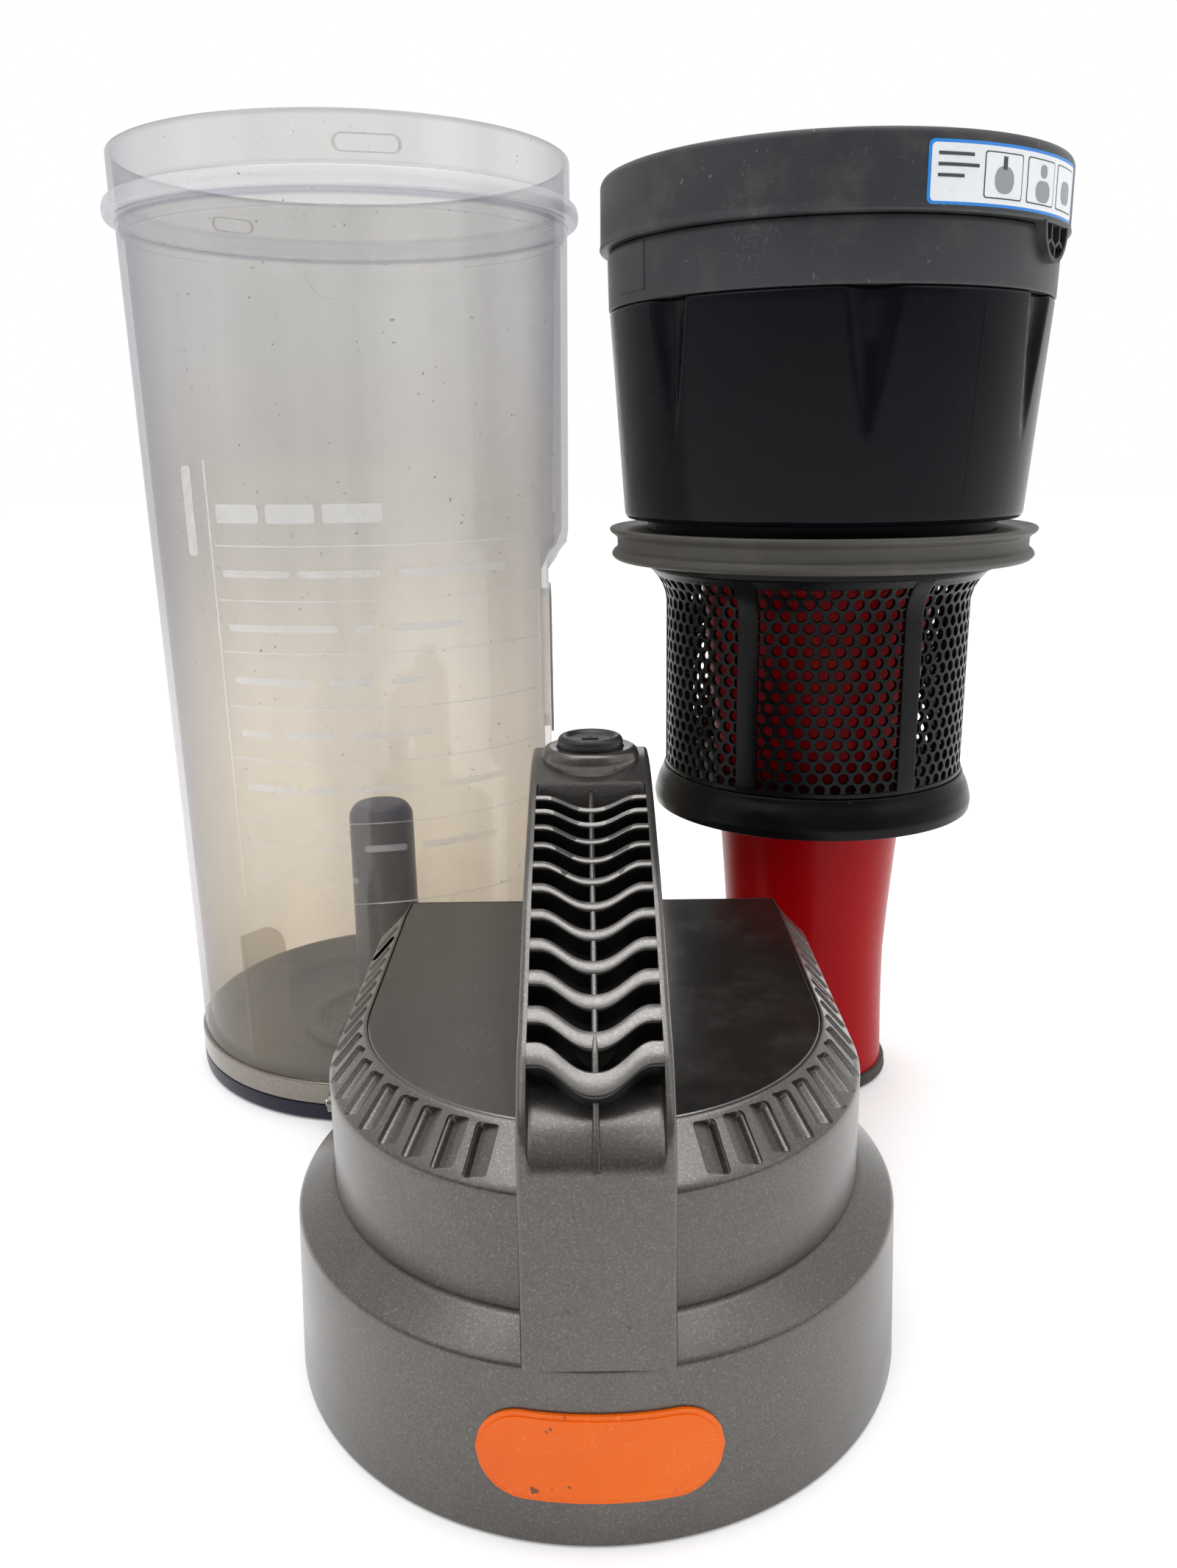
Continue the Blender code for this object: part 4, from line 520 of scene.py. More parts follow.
# ---- Print on the bin ----
# White ink on the clear wall: one upright rule, seven level rules and a bar in each row, worn thin
# towards the bottom by washing. Each mark is a film of ink that follows the wall.
def wall_patch(bearing_from, bearing_to, low, high, radius, lift, thick, columns=24, rows=2, ends=0.0):
    """A thin closed patch on a turned wall; ends rounds it like a pill."""
    rings = []
    corner = min((high - low) / 2, ends)
    span = math.radians(abs(bearing_to - bearing_from)) * radius(low)
    shares = {
        i / columns
        for i in range(columns + 1) if corner * columns < i * span < (span - corner) * columns
    }
    shares |= {0.0, 1.0}
    for k in range(6):
        reach = corner * (1 - math.cos(math.pi / 2 * (k + 1) / 6)) / span
        shares |= {reach, 1 - reach}
    for share in sorted(shares):
        angle = math.radians(bearing_from + (bearing_to - bearing_from) * share - 90.0)
        inset = 0.0
        reach = min(share, 1 - share) * span
        if reach < corner:
            inset = corner - corner * math.sqrt(max(0.0, 1 - (1 - reach / corner) ** 2)) * 0.999
        heights = [low + inset + (high - low - 2 * inset) * k / rows for k in range(rows + 1)]
        ring = []
        for z in heights:
            r = radius(z) + lift + thick
            ring.append((r * math.cos(angle), r * math.sin(angle), z))
        for z in reversed(heights):
            r = radius(z) + lift
            ring.append((r * math.cos(angle), r * math.sin(angle), z))
        rings.append(ring)
    return stack(rings)


ink, ink_shader, paint = new_material("worn_white_ink")
spot = place_of(paint)
height = paint.node("ShaderNodeSeparateXYZ", inputs={0: spot}, output=2)
worn = noise_at(paint, spot, 55.0, 5.0, 0.65)
rubbed = between(paint, noise_at(paint, spot, 12.0, 2.0), 0.30, 0.55)
low_wear = between(paint, height, 0.12, 0.19, 0.22, 0.0)
left = between(paint, worn * 0.5 + rubbed * 0.5 - low_wear, 0.12, 0.58)
feed(
    paint.tree, ink_shader, Base_Color=mixed(paint, worn, (0.80, 0.80, 0.80), (0.90, 0.90, 0.90)),
    Roughness=0.8, Alpha=left * 0.36,
)
ink_shader.inputs["Specular IOR Level"].default_value = 0.15

marks = [(-30.85, -30.25, 93.0, 258.0, 0.0)]
rule_ends = (
    (228.0, 58.0), (208.5, 59.0), (189.5, 59.5), (169.0, 59.5), (149.0, 59.5), (125.0, 58.5), (93.0, 52.0),
)
marks += [(-29.4, end, z - 0.28, z + 0.28, 0.0) for z, end in rule_ends]
rows_of_print = (
    (236.0, 242.6, ((-28.0, -16.0), (-14.0, -2.0), (0.0, 14.0))),
    (216.8, 219.4, ((-27.6, -9.0), (-7.0, 13.0), (17.0, 47.0))),
    (197.2, 199.8, ((-27.2, 2.0), (6.0, 11.0), (15.0, 33.0))),
    (177.7, 180.3, ((-26.8, -5.0), (-1.0, 10.0), (14.0, 22.0))),
    (157.7, 160.3, ((-26.4, -17.0), (-13.0, 0.0), (4.0, 24.0))),
    (136.7, 139.3, ((-26.0, -11.0), (-8.0, 0.0), (3.0, 21.0), (25.0, 45.0))),
    (113.7, 116.3, ((-25.4, 1.0), (5.0, 16.0), (20.0, 42.0))),
    (101.2, 103.8, ((-25.0, 3.0),)),
)
marks += [(a, b, low, high, 1.2 * MM) for low, high, words in rows_of_print for a, b in words]
marks.append((-39.0, -35.6, 224.0, 256.0, 1.5 * MM))
for i, (start, end, low, high, ends) in enumerate(marks):
    patch = wall_patch(
        start, end, low * MM, high * MM, tube_radius, 0.12 * MM, 0.10 * MM, 48, 12 if high - low > 20 else 1,
        ends,
    )
    mesh_piece(f"bin_print_{i + 1:02d}", *patch, bin_at, "bin", "white_label", ink)


# ---- Foot ring of the bin ----
# A painted plastic ring glued round the bin's foot, with a pair of ears at the back for the door's
# hinge pin and a pair in front for the latch pin.
def metallic_paint(name, colour, light, roughness=0.36, specks=1.0, chips=0.0, dust=0.25, gap_shade=False):
    """Sprayed metallic paint: a base coat with fine flakes, clouds of dust and chipped spots."""
    material, shader, coat = new_material(name)
    where = place_of(coat)
    flakes = noise_at(coat, where, 1700.0, 1.0)
    grain = noise_at(coat, where, 1100.0, 2.0)
    clouds = noise_at(coat, where, 14.0, 4.0)
    sparkle = between(coat, flakes, 0.56, 0.72) * specks
    tone = between(coat, grain * 0.6 + clouds * 0.4, 0.3, 0.7)
    base = mixed(coat, tone, colour, light)
    base = mixed(coat, sparkle * 0.36, base, tuple(min(1.0, c * 2.6) for c in light))
    film = between(coat, noise_at(coat, where, 36.0, 5.0, 0.6), 0.5, 0.72) * dust
    base = mixed(coat, film, base, (0.17, 0.16, 0.15))
    rub = scratches_at(coat, where, 60.0, 0.012, 0.9)
    base = mixed(coat, rub * 0.3, base, tuple(c * 1.8 for c in light))
    rough = between(coat, clouds, 0.3, 0.7, roughness - 0.05, roughness + 0.08) + film * 0.25
    height = grain * 0.5 + flakes * 0.5
    metal = 0.72
    if chips:
        spots = between(coat, noise_at(coat, where, 210.0, 3.0, 0.6), 0.70 - chips * 0.06, 0.71 - chips * 0.06)
        area = between(coat, noise_at(coat, where, 24.0, 2.0), 0.54, 0.60)
        chip = spots * area
        base = mixed(coat, chip, base, (0.035, 0.033, 0.032))
        metal = 0.72 - chip * 0.7
        height = height - chip * 1.5
    # Painted shade: faces that do not face up are painted near black and lose their metal, standing in for the
    # shade between the ribs.
    if gap_shade:
        facing_up = coat.node("ShaderNodeTexCoord", output=1)
        top_lit_share = between(coat, coat.node("ShaderNodeSeparateXYZ", inputs={0: facing_up}, output=2), 0.42, 0.75)
        base = mixed(coat, top_lit_share, (0.006, 0.006, 0.006), base)
        metal = top_lit_share * 0.72
    surface = bump_from(coat, height, 0.16, 0.0002)
    feed(coat.tree, shader, Base_Color=base, Metallic=metal, Roughness=rough, Normal=surface)
    shader.inputs["Coat Weight"].default_value = 0.25
    shader.inputs["Coat Roughness"].default_value = 0.22
    return material


ring_paint = metallic_paint("foot_ring_paint", (0.17, 0.155, 0.135), (0.27, 0.245, 0.21), 0.22, 0.5)
hinge_y = 88.0 * MM
hinge_z = 11.7 * MM


def bevelled(piece, width, segments=2, limit=30.0):
    """Rounds a piece's sharp edges for good."""
    modifier = piece.modifiers.new("soft edges", "BEVEL")
    modifier.width = width
    modifier.segments = segments
    modifier.limit_method = "ANGLE"
    modifier.angle_limit = math.radians(limit)
    modifier.use_clamp_overlap = True
    bpy.context.view_layer.update()
    graph = bpy.context.evaluated_depsgraph_get()
    piece.data = bpy.data.meshes.new_from_object(piece.evaluated_get(graph), depsgraph=graph)
    piece.modifiers.clear()
    piece.data.shade_smooth()
    piece.data.set_sharp_from_angle(angle=math.radians(40))
    return piece


def side_prism(outline, x0, x1):
    """A (y, z) outline pushed from x0 to x1."""
    return stack([[(x, y, z) for y, z in outline] for x in (x0, x1)])


band = rounded(
    [
        (81.5 * MM, 7.4 * MM, 0.2 * MM),
        (83.6 * MM, 7.4 * MM, 0.7 * MM),
        (83.6 * MM, 16.8 * MM, 1.2 * MM),
        (81.5 * MM, 16.8 * MM, 0.3 * MM),
    ],
    5,
)
foot_band = mesh_piece("foot_band", *lathe_grid(band, 192), bin_at, "bin", "pewter_paint", ring_paint)
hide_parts("foot_ring")
for side, sign in (("rear", 1), ("front", -1)):
    ear = [(sign * 82.3 * MM, hinge_z - 3.8 * MM)]
    ear += [
        (
            sign * (hinge_y + 3.8 * MM * math.sin(k * math.pi / 12)),
            hinge_z - 3.8 * MM * math.cos(k * math.pi / 12),
        )
        for k in range(13)
    ]
    ear.append((sign * 82.3 * MM, hinge_z + 3.8 * MM))
    for x in (-12.3 * MM, 8.3 * MM):
        piece = mesh_piece(
            f"{side}_ear_{'left' if x < 0 else 'right'}", *side_prism(ear, x, x + 4 * MM), bin_at, "bin", "pewter_paint", ring_paint
        )
        bevelled(piece, 0.4 * MM)


# ---- Base door, its seal and the centre post ----
# The floor of the bin is a hinged door moulded in black plastic: a rim with a rubber ring, a raised
# seat for the collector's seal, ribs below, and a hollow navy post screwed to its middle.
def moulded(
    name, colour, roughness, lift=1.25, texture=260.0, dust=0.12, wear=0.25, dust_colour=(0.20, 0.18, 0.16),
    ior=1.38,
):
    """Moulded plastic: spark-eroded texture, a trace of dust, handling scratches and uneven gloss."""
    material, shader, body = new_material(name)
    where = place_of(body)
    clouds = noise_at(body, where, 18.0, 4.0)
    fine = noise_at(body, where, texture, 3.0)
    flow = noise_at(body, where, 30.0, 3.0, 0.5, (1.0, 1.0, 0.25))
    base = mixed(
        body, between(body, clouds * 0.5 + flow * 0.5, 0.3, 0.7), colour,
        tuple(min(1, c * lift) for c in colour),
    )
    film = between(body, noise_at(body, where, 48.0, 6.0, 0.65), 0.50, 0.75) * dust
    base = mixed(body, film, base, dust_colour)
    flecks = between(body, noise_at(body, where, 520.0, 1.0), 0.745, 0.77)
    base = mixed(body, flecks * dust * 2.2, base, dust_colour)
    marks = scratches_at(body, where, 70.0, 0.012, 0.4)
    base = mixed(body, marks * wear, base, tuple(min(1, c * 2.0 + 0.05) for c in colour))
    rough = between(body, clouds, 0.3, 0.7, roughness - 0.05, roughness + 0.07) + film * 0.5 + marks * 0.12
    surface = bump_from(body, fine * 0.7 + marks * 0.5, 0.10, 0.00025)
    feed(body.tree, shader, Base_Color=base, Roughness=rough, Normal=surface)
    shader.inputs["IOR"].default_value = ior
    return material


base_plastic = moulded("base_door_plastic", (0.004, 0.0055, 0.020), 0.34, dust=0.06)
door = rounded(
    [
        (0.05 * MM, 0.0),
        (20 * MM, 0.0, 0.6 * MM),
        (20 * MM, 2.4 * MM, 0.5 * MM),
        (77.6 * MM, 2.4 * MM, 0.6 * MM),
        (77.6 * MM, 0.0, 0.6 * MM),
        (83.4 * MM, 0.0, 1.4 * MM),
        (83.6 * MM, 7.1 * MM, 0.6 * MM),
        (81.7 * MM, 7.1 * MM, 0.4 * MM),
        (81.7 * MM, 5.0 * MM, 0.5 * MM),
        (47 * MM, 5.0 * MM, 0.8 * MM),
        (44 * MM, 5.6 * MM, 0.8 * MM),
        (39.6 * MM, 6.0 * MM, 0.8 * MM),
        (39.5 * MM, 9.2 * MM, 0.9 * MM),
        (33.2 * MM, 9.2 * MM, 0.9 * MM),
        (33.0 * MM, 5.0 * MM, 0.8 * MM),
        (11.6 * MM, 5.0 * MM, 0.4 * MM),
        (11.6 * MM, 13.0 * MM, 0.8 * MM),
        (0.05 * MM, 13.0 * MM),
    ],
    3,
)
base_disc = mesh_piece(
    "base_door_disc", *lathe_grid(door, 192), bin_at, "base_door", "black_plastic", base_plastic,
)
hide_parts("base_door")
for k in range(12):
    rib = block(20.5 * MM, 77.4 * MM, -0.8 * MM, 0.8 * MM, 0.7 * MM, 2.6 * MM, 30.0 * k + 15.0)
    bevelled(
        mesh_piece(f"door_rib_{k + 1:02d}", *rib, bin_at, "base_door", "black_plastic", base_plastic),
        0.25 * MM,
    )
knuckle = [
    (82.0 * MM, 0.9 * MM),
    (87.0 * MM, 0.9 * MM),
    (91.4 * MM, 9.5 * MM),
    (91.7 * MM, 12.2 * MM),
    (90.2 * MM, 14.8 * MM),
    (87.6 * MM, 15.4 * MM),
    (85.2 * MM, 14.2 * MM),
    (84.4 * MM, 11.4 * MM),
    (84.3 * MM, 6.5 * MM),
    (82.0 * MM, 6.5 * MM),
]
knuckle = rounded([(y, z, 1.6 * MM) for y, z in knuckle], 3)
bevelled(
    mesh_piece(
        "door_knuckle", *side_prism(knuckle, -8.0 * MM, 8.0 * MM), bin_at, "base_door", "black_plastic",
        base_plastic,
    ),
    0.4 * MM,
)
strike = [(-86.2 * MM, 3.2 * MM), (-82.0 * MM, 3.2 * MM), (-82.0 * MM, 6.5 * MM), (-86.2 * MM, 6.5 * MM)]
bevelled(
    mesh_piece(
        "door_strike", *side_prism(strike, -7.0 * MM, 7.0 * MM), bin_at, "base_door", "black_plastic",
        base_plastic,
    ),
    0.35 * MM,
)

navy_plastic = moulded("navy_post_plastic", (0.003, 0.006, 0.060), 0.30, 1.35, dust=0.02)
post = rounded(
    [
        (12.0 * MM, 5.3 * MM),
        (14.6 * MM, 5.3 * MM, 0.3 * MM),
        (14.0 * MM, 105.6 * MM, 2.2 * MM),
        (11.0 * MM, 109.8 * MM, 1.8 * MM),
        (0.05 * MM, 109.8 * MM),
        (0.05 * MM, 107.2 * MM),
        (11.2 * MM, 107.2 * MM, 1.0 * MM),
    ],
    5,
)
centre_post = mesh_piece("navy_post", *lathe_grid(post, 72), bin_at, "base_door", "navy_plastic", navy_plastic)
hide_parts("centre_post")
for k in range(4):
    fin = side_prism(
        rounded([
            (14.2 * MM, 5.2 * MM), (30.5 * MM, 5.2 * MM), (30.5 * MM, 7.0 * MM, 1 * MM),
            (14.0 * MM, 26.0 * MM, 4 * MM),
        ], 3),
        -0.9 * MM,
        0.9 * MM,
    )
    turn = Matrix.Rotation(math.radians(90.0 * k + 45.0), 3, "Z")
    bevelled(
        mesh_piece(
            f"post_fin_{k + 1}", [turn @ Vector(v) for v in fin[0]], fin[1], bin_at, "base_door",
            "navy_plastic", navy_plastic,
        ),
        0.3 * MM,
    )


# ---- Door latch ----
# A black lever on the front pin: pressing its grooved upper pad swings the toe out from under the
# door. It is one moulding with a springy tongue behind it.
latch_plastic = moulded("latch_plastic", (0.014, 0.014, 0.016), 0.36)
lever = [
    (-86.2 * MM, 36.0 * MM, 1.0 * MM),
    (-89.0 * MM, 36.0 * MM, 1.4 * MM),
    (-91.9 * MM, 17.7 * MM, 3.0 * MM),
    (-91.9 * MM, 8.7 * MM, 2.0 * MM),
    (-89.6 * MM, 0.8 * MM, 0.8 * MM),
    (-86.55 * MM, 0.8 * MM, 0.4 * MM),
    (-86.55 * MM, 2.8 * MM, 0.3 * MM),
    (-89.0 * MM, 8.2 * MM, 0.8 * MM),
    (-86.8 * MM, 8.6 * MM, 0.8 * MM),
    (-84.95 * MM, 10.5 * MM, 0.6 * MM),
    (-84.95 * MM, 12.9 * MM, 0.8 * MM),
    (-86.2 * MM, 16.7 * MM, 1.0 * MM),
]
latch = mesh_piece(
    "latch_lever", *side_prism(
        rounded(lever, 3), -8.0 * MM, 8.0 * MM,
    ), bin_at, "door_latch", "black_plastic", latch_plastic
)
bevelled(latch, 0.6 * MM, 3)
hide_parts("door_latch")
for k in range(5):
    y = -89.0 * MM - (36.0 - 32.5 + 2.4 * k) * MM * 0.158
    z = 32.5 * MM - 2.4 * MM * k
    bar = [
        (y + 0.3 * MM, z - 0.5 * MM), (y - 0.35 * MM, z - 0.3 * MM), (y - 0.35 * MM, z + 0.3 * MM),
        (y + 0.3 * MM, z + 0.5 * MM),
    ]
    grip = mesh_piece(
        f"latch_grip_{k + 1}", *side_prism(bar, -6.0 * MM, 6.0 * MM), bin_at, "door_latch", "black_plastic",
        latch_plastic,
    )
    bevelled(grip, 0.15 * MM)


# ---- Filter housing: collar, clamp ring and key lug ----
# The cyclone's upper part is a dark grey moulded cup. Its collar drops into the bin's mouth, a
# mid grey clamp ring is snapped on below it, and a ribbed lug turns it to its place in the bin.
cyclone_at = Vector((0.183821, -0.032082, 0))
collar_plastic = moulded("collar_plastic", (0.031, 0.032, 0.036), 0.36, 1.3, 300.0, dust=0.22, wear=0.5)
clamp_plastic = moulded("clamp_ring_plastic", (0.036, 0.038, 0.042), 0.34, 1.2, 300.0, dust=0.15, wear=0.45)
cup = rounded(
    [
        (16 * MM, 311.4 * MM, 0.4 * MM),
        (78.4 * MM, 311.4 * MM, 0.4 * MM),
        (78.4 * MM, 330.2 * MM, 0.3 * MM),
        (84.4 * MM, 330.2 * MM, 0.4 * MM),
        (85.1 * MM, 331.0 * MM, 0.3 * MM),
        (84.7 * MM, 333.0 * MM, 0.6 * MM),
        (84.6 * MM, 352.6 * MM, 1.2 * MM),
        (83.7 * MM, 354.1 * MM, 0.7 * MM),
        (82.7 * MM, 354.1 * MM, 0.6 * MM),
        (82.7 * MM, 332.6 * MM, 0.6 * MM),
        (76.2 * MM, 332.6 * MM, 0.8 * MM),
        (76.2 * MM, 313.8 * MM, 1.0 * MM),
        (16 * MM, 313.8 * MM, 0.4 * MM),
    ],
    4,
)
collar = mesh_piece(
    "filter_cup", *lathe_grid(cup, 192), cyclone_at, "cyclone", "dark_grey_plastic", collar_plastic,
)
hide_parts("filter_housing")
clamp = rounded(
    [
        (74.5 * MM, 309.4 * MM, 0.3 * MM),
        (81.7 * MM, 309.4 * MM, 0.8 * MM),
        (82.1 * MM, 327.4 * MM, 0.6 * MM),
        (81.5 * MM, 329.9 * MM, 0.8 * MM),
        (78.8 * MM, 329.9 * MM, 0.3 * MM),
        (78.8 * MM, 311.1 * MM, 0.2 * MM),
        (74.5 * MM, 311.1 * MM, 0.3 * MM),
    ],
    4,
)
clamp_band = mesh_piece(
    "clamp_band", *lathe_grid(clamp, 192), cyclone_at, "cyclone", "mid_grey_plastic", clamp_plastic,
)
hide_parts("clamp_ring")
for k, bearing in enumerate((-66.0, 174.0)):
    tab = wall_patch(
        bearing - 7.0, bearing + 7.0, 313.0 * MM, 328.6 * MM, lambda z: 81.6 * MM, -0.4 * MM, 1.15 * MM, 14, 3,
    )
    bevelled(
        mesh_piece(f"clamp_tab_{k + 1}", *tab, cyclone_at, "cyclone", "mid_grey_plastic", clamp_plastic),
        0.35 * MM,
    )

lug_plastic = moulded("lug_plastic", (0.024, 0.025, 0.027), 0.38, dust=0.4)
lug_bearing = 53.0


def lug_bar(name, path, half_wide, near, far, closed=False):
    """A flat rib of the lug that follows an (across, height) path."""
    outline = []
    inner = []
    for i, (a, z) in enumerate(path):
        ahead = Vector(path[min(i + 1, len(path) - 1)]) - Vector(path[max(i - 1, 0)])
        side = Vector((-ahead.y, ahead.x)).normalized() * half_wide
        outline.append((a + side.x, z + side.y))
        inner.append((a - side.x, z - side.y))
    return mesh_piece(
        name, *radial_plate(
            outline + inner[::-1], near, far, lug_bearing,
        ), cyclone_at, "cyclone", "dark_grey_plastic", lug_plastic
    )


lug_top = 330.4 * MM
half_round = [
    (11.0 * MM * math.cos(math.pi * k / 16), lug_top - 11.2 * MM * math.sin(math.pi * k / 16))
    for k in range(17)
]
lug_bar("lug_rim", half_round, 0.75 * MM, 80.5 * MM, 84.3 * MM)
for k, (x0, z0, x1, z1) in enumerate(
    (
        (-4.0, 330.4, -4.0, 325.6),
        (4.0, 330.4, 4.0, 325.6),
        (-4.0, 325.6, 0.0, 323.4),
        (4.0, 325.6, 0.0, 323.4),
        (0.0, 323.4, 0.0, 319.4),
        (-4.0, 325.6, -8.6, 323.4),
        (4.0, 325.6, 8.6, 323.4),
    )
):
    lug_bar(f"lug_rib_{k + 1}", [(x0 * MM, z0 * MM), (x1 * MM, z1 * MM)], 0.5 * MM, 80.5 * MM, 83.9 * MM)


# ---- Instruction label ----
# A printed film stuck on the collar: a white field in a blue border. Plain bars and grey shapes in
# two boxes stand where the words and pictures are.
def print_film(name, colour, roughness=0.38):
    material, shader, film = new_material(name)
    where = place_of(film)
    age = noise_at(film, where, 45.0, 4.0)
    base = mixed(film, between(film, age, 0.35, 0.7) * 0.35, colour, tuple(c * 0.80 for c in colour))
    marks = scratches_at(film, where, 95.0, 0.012, 1.3)
    base = mixed(film, marks * 0.35, base, (0.35, 0.34, 0.33))
    rough = between(film, age, 0.3, 0.7, roughness - 0.05, roughness + 0.1)
    feed(film.tree, shader, Base_Color=base, Roughness=rough, Normal=bump_from(film, age, 0.08, 0.0003))
    return material


def collar_r(z):
    return 84.66 * MM


label_blue = print_film("label_blue", (0.02, 0.24, 0.72))
label_white = print_film("label_white", (0.84, 0.86, 0.88))
label_grey = print_film("label_grey", (0.30, 0.31, 0.33))
label_dark = print_film("label_dark", (0.05, 0.055, 0.065))
film_layers = [
    ("label_border", 10.0, 62.0, 331.9, 350.5, label_blue, 0.02, 0.22, 2.0),
    ("label_field", 10.7, 61.3, 332.9, 349.5, label_white, 0.10, 0.22, 1.4),
    ("label_bar_1", 12.2, 20.6, 346.0, 347.0, label_dark, 0.18, 0.22, 0.0),
    ("label_bar_2", 12.2, 22.0, 342.9, 343.9, label_dark, 0.18, 0.22, 0.0),
    ("label_bar_3", 12.2, 18.4, 339.8, 340.8, label_dark, 0.18, 0.22, 0.0),
    ("label_box_1", 23.4, 34.6, 334.4, 348.0, label_dark, 0.16, 0.22, 1.0),
    ("label_box_1_field", 23.7, 34.3, 334.8, 347.6, label_white, 0.21, 0.22, 0.8),
    ("label_shape_1", 26.2, 31.8, 336.0, 344.0, label_grey, 0.26, 0.22, 3.6),
    ("label_mark_1", 28.4, 29.6, 343.0, 346.8, label_dark, 0.31, 0.22, 0.0),
    ("label_box_2", 36.2, 47.4, 334.4, 348.0, label_dark, 0.16, 0.22, 1.0),
    ("label_box_2_field", 36.5, 47.1, 334.8, 347.6, label_white, 0.21, 0.22, 0.8),
    ("label_shape_2", 39.4, 45.4, 335.2, 341.6, label_grey, 0.26, 0.22, 3.0),
    ("label_shape_3", 41.0, 43.8, 342.4, 346.4, label_grey, 0.26, 0.22, 1.6),
    ("label_box_3", 49.0, 60.0, 334.4, 348.0, label_dark, 0.16, 0.22, 1.0),
    ("label_box_3_field", 49.3, 59.7, 334.8, 347.6, label_white, 0.21, 0.22, 0.8),
    ("label_shape_4", 51.6, 57.4, 336.6, 343.6, label_grey, 0.26, 0.22, 2.6),
]
for name, start, end, low, high, film, lift, thick, ends in film_layers:
    layer = mesh_piece(
        name,
        *wall_patch(start, end, low * MM, high * MM, collar_r, lift * MM, thick * MM, 28, 2, ends * MM),
        cyclone_at,
        "cyclone",
        "white_label",
        film,
    )
    if name == "label_border":
        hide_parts("instruction_label")


# ---- Cyclone body ----
# One black moulding that tapers down to the seal, with a V-shaped flute between each pair of
# cyclones behind it. Each flute is widest at the top and runs out part of the way down.
body_top = 309.1 * MM
body_low = 238.3 * MM
flutes = 7


def fluted(radius, angle, z):
    """Presses the flutes into the body's wall."""
    if radius < 70 * MM or z < body_low - 2 * MM:
        return radius
    share = (z - body_low) / (body_top - body_low)
    reach = max(0.0, min(1.0, (share - 0.34) / 0.66))
    if reach <= 0.0:
        return radius
    bearing = math.degrees(angle) + 90.0 - 0.5
    pitch = 360.0 / flutes
    off = abs((bearing + pitch / 2) % pitch - pitch / 2)
    half = 1.2 + 5.4 * reach
    inside = max(0.0, 1.0 - (off / half) ** 2)
    return radius - 3.2 * MM * inside ** 1.1 * min(1.0, reach * 1.6)


def body_wall(z):
    return (76.0 + 5.3 * (z - body_low) / (body_top - body_low)) * MM


body_outline = rounded(
    [
        (64.8 * MM, 214.5 * MM, 0.3 * MM),
        (67.0 * MM, 214.5 * MM, 0.3 * MM),
        (67.0 * MM, 233.6 * MM, 0.5 * MM),
        (74.8 * MM, 233.6 * MM, 0.6 * MM),
        (75.9 * MM, 235.2 * MM, 0.8 * MM),
        (81.3 * MM, 308.2 * MM, 0.3 * MM),
        (80.9 * MM, 309.1 * MM, 0.3 * MM),
        (74.6 * MM, 309.1 * MM, 0.3 * MM),
        (73.8 * MM, 239.3 * MM, 0.6 * MM),
        (64.8 * MM, 239.3 * MM, 0.4 * MM),
    ],
    3,
)
black_gloss = moulded(
    "cyclone_black", (0.0020, 0.0022, 0.0040), 0.22, 1.5, 240.0, dust=0.015, wear=0.03,
    dust_colour=(0.06, 0.06, 0.06), ior=1.24,
)
verts, faces = lathe_grid(along(body_outline, 3.0 * MM), 420, fluted)
cyclone_body = mesh_piece("fluted_body", verts, faces, cyclone_at, "cyclone", "black_plastic", black_gloss, 50)
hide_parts("cyclone_body")
seam = wall_patch(28.6, 29.0, 240.0 * MM, 307.5 * MM, body_wall, -0.15 * MM, 0.32 * MM, 2, 12)
mesh_piece("body_seam", *seam, cyclone_at, "cyclone", "black_plastic", black_gloss)


# ---- Bin seal ----
# A taupe rubber ring stretched over the body's neck. Its two soft lips press on the bin's wall.
taupe_rubber = moulded("seal_rubber", (0.062, 0.058, 0.051), 0.48, 1.2, 180.0, dust=0.2, wear=0.15)
seal = rounded(
    [
        (67.3 * MM, 217.7 * MM, 0.3 * MM),
        (79.6 * MM, 217.7 * MM, 1.0 * MM),
        (81.4 * MM, 219.6 * MM, 0.9 * MM),
        (80.6 * MM, 221.4 * MM, 0.9 * MM),
        (78.9 * MM, 222.6 * MM, 0.9 * MM),
        (79.1 * MM, 226.6 * MM, 0.9 * MM),
        (81.6 * MM, 228.3 * MM, 0.7 * MM),
        (82.1 * MM, 229.6 * MM, 0.6 * MM),
        (81.2 * MM, 230.3 * MM, 0.4 * MM),
        (78.0 * MM, 229.3 * MM, 0.6 * MM),
        (67.3 * MM, 229.3 * MM, 0.4 * MM),
    ],
    4,
)
seal_ring = mesh_piece(
    "double_lip_seal", *lathe_grid(seal, 192), cyclone_at, "cyclone", "taupe_rubber", taupe_rubber, 50,
)
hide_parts("bin_seal")


# ---- Perforated shroud ----
# A black moulded screen round the red collector: six panels of round holes in close-packed rows,
# between upright ribs, with a top that flares out to the seal.
shroud_low = 134.5 * MM
shroud_top = 214.2 * MM


def shroud_r(z):
    rise = max(0.0, (z - 200.0 * MM) / (shroud_top - 200.0 * MM))
    return 59.2 * MM + 6.4 * MM * rise ** 2.2


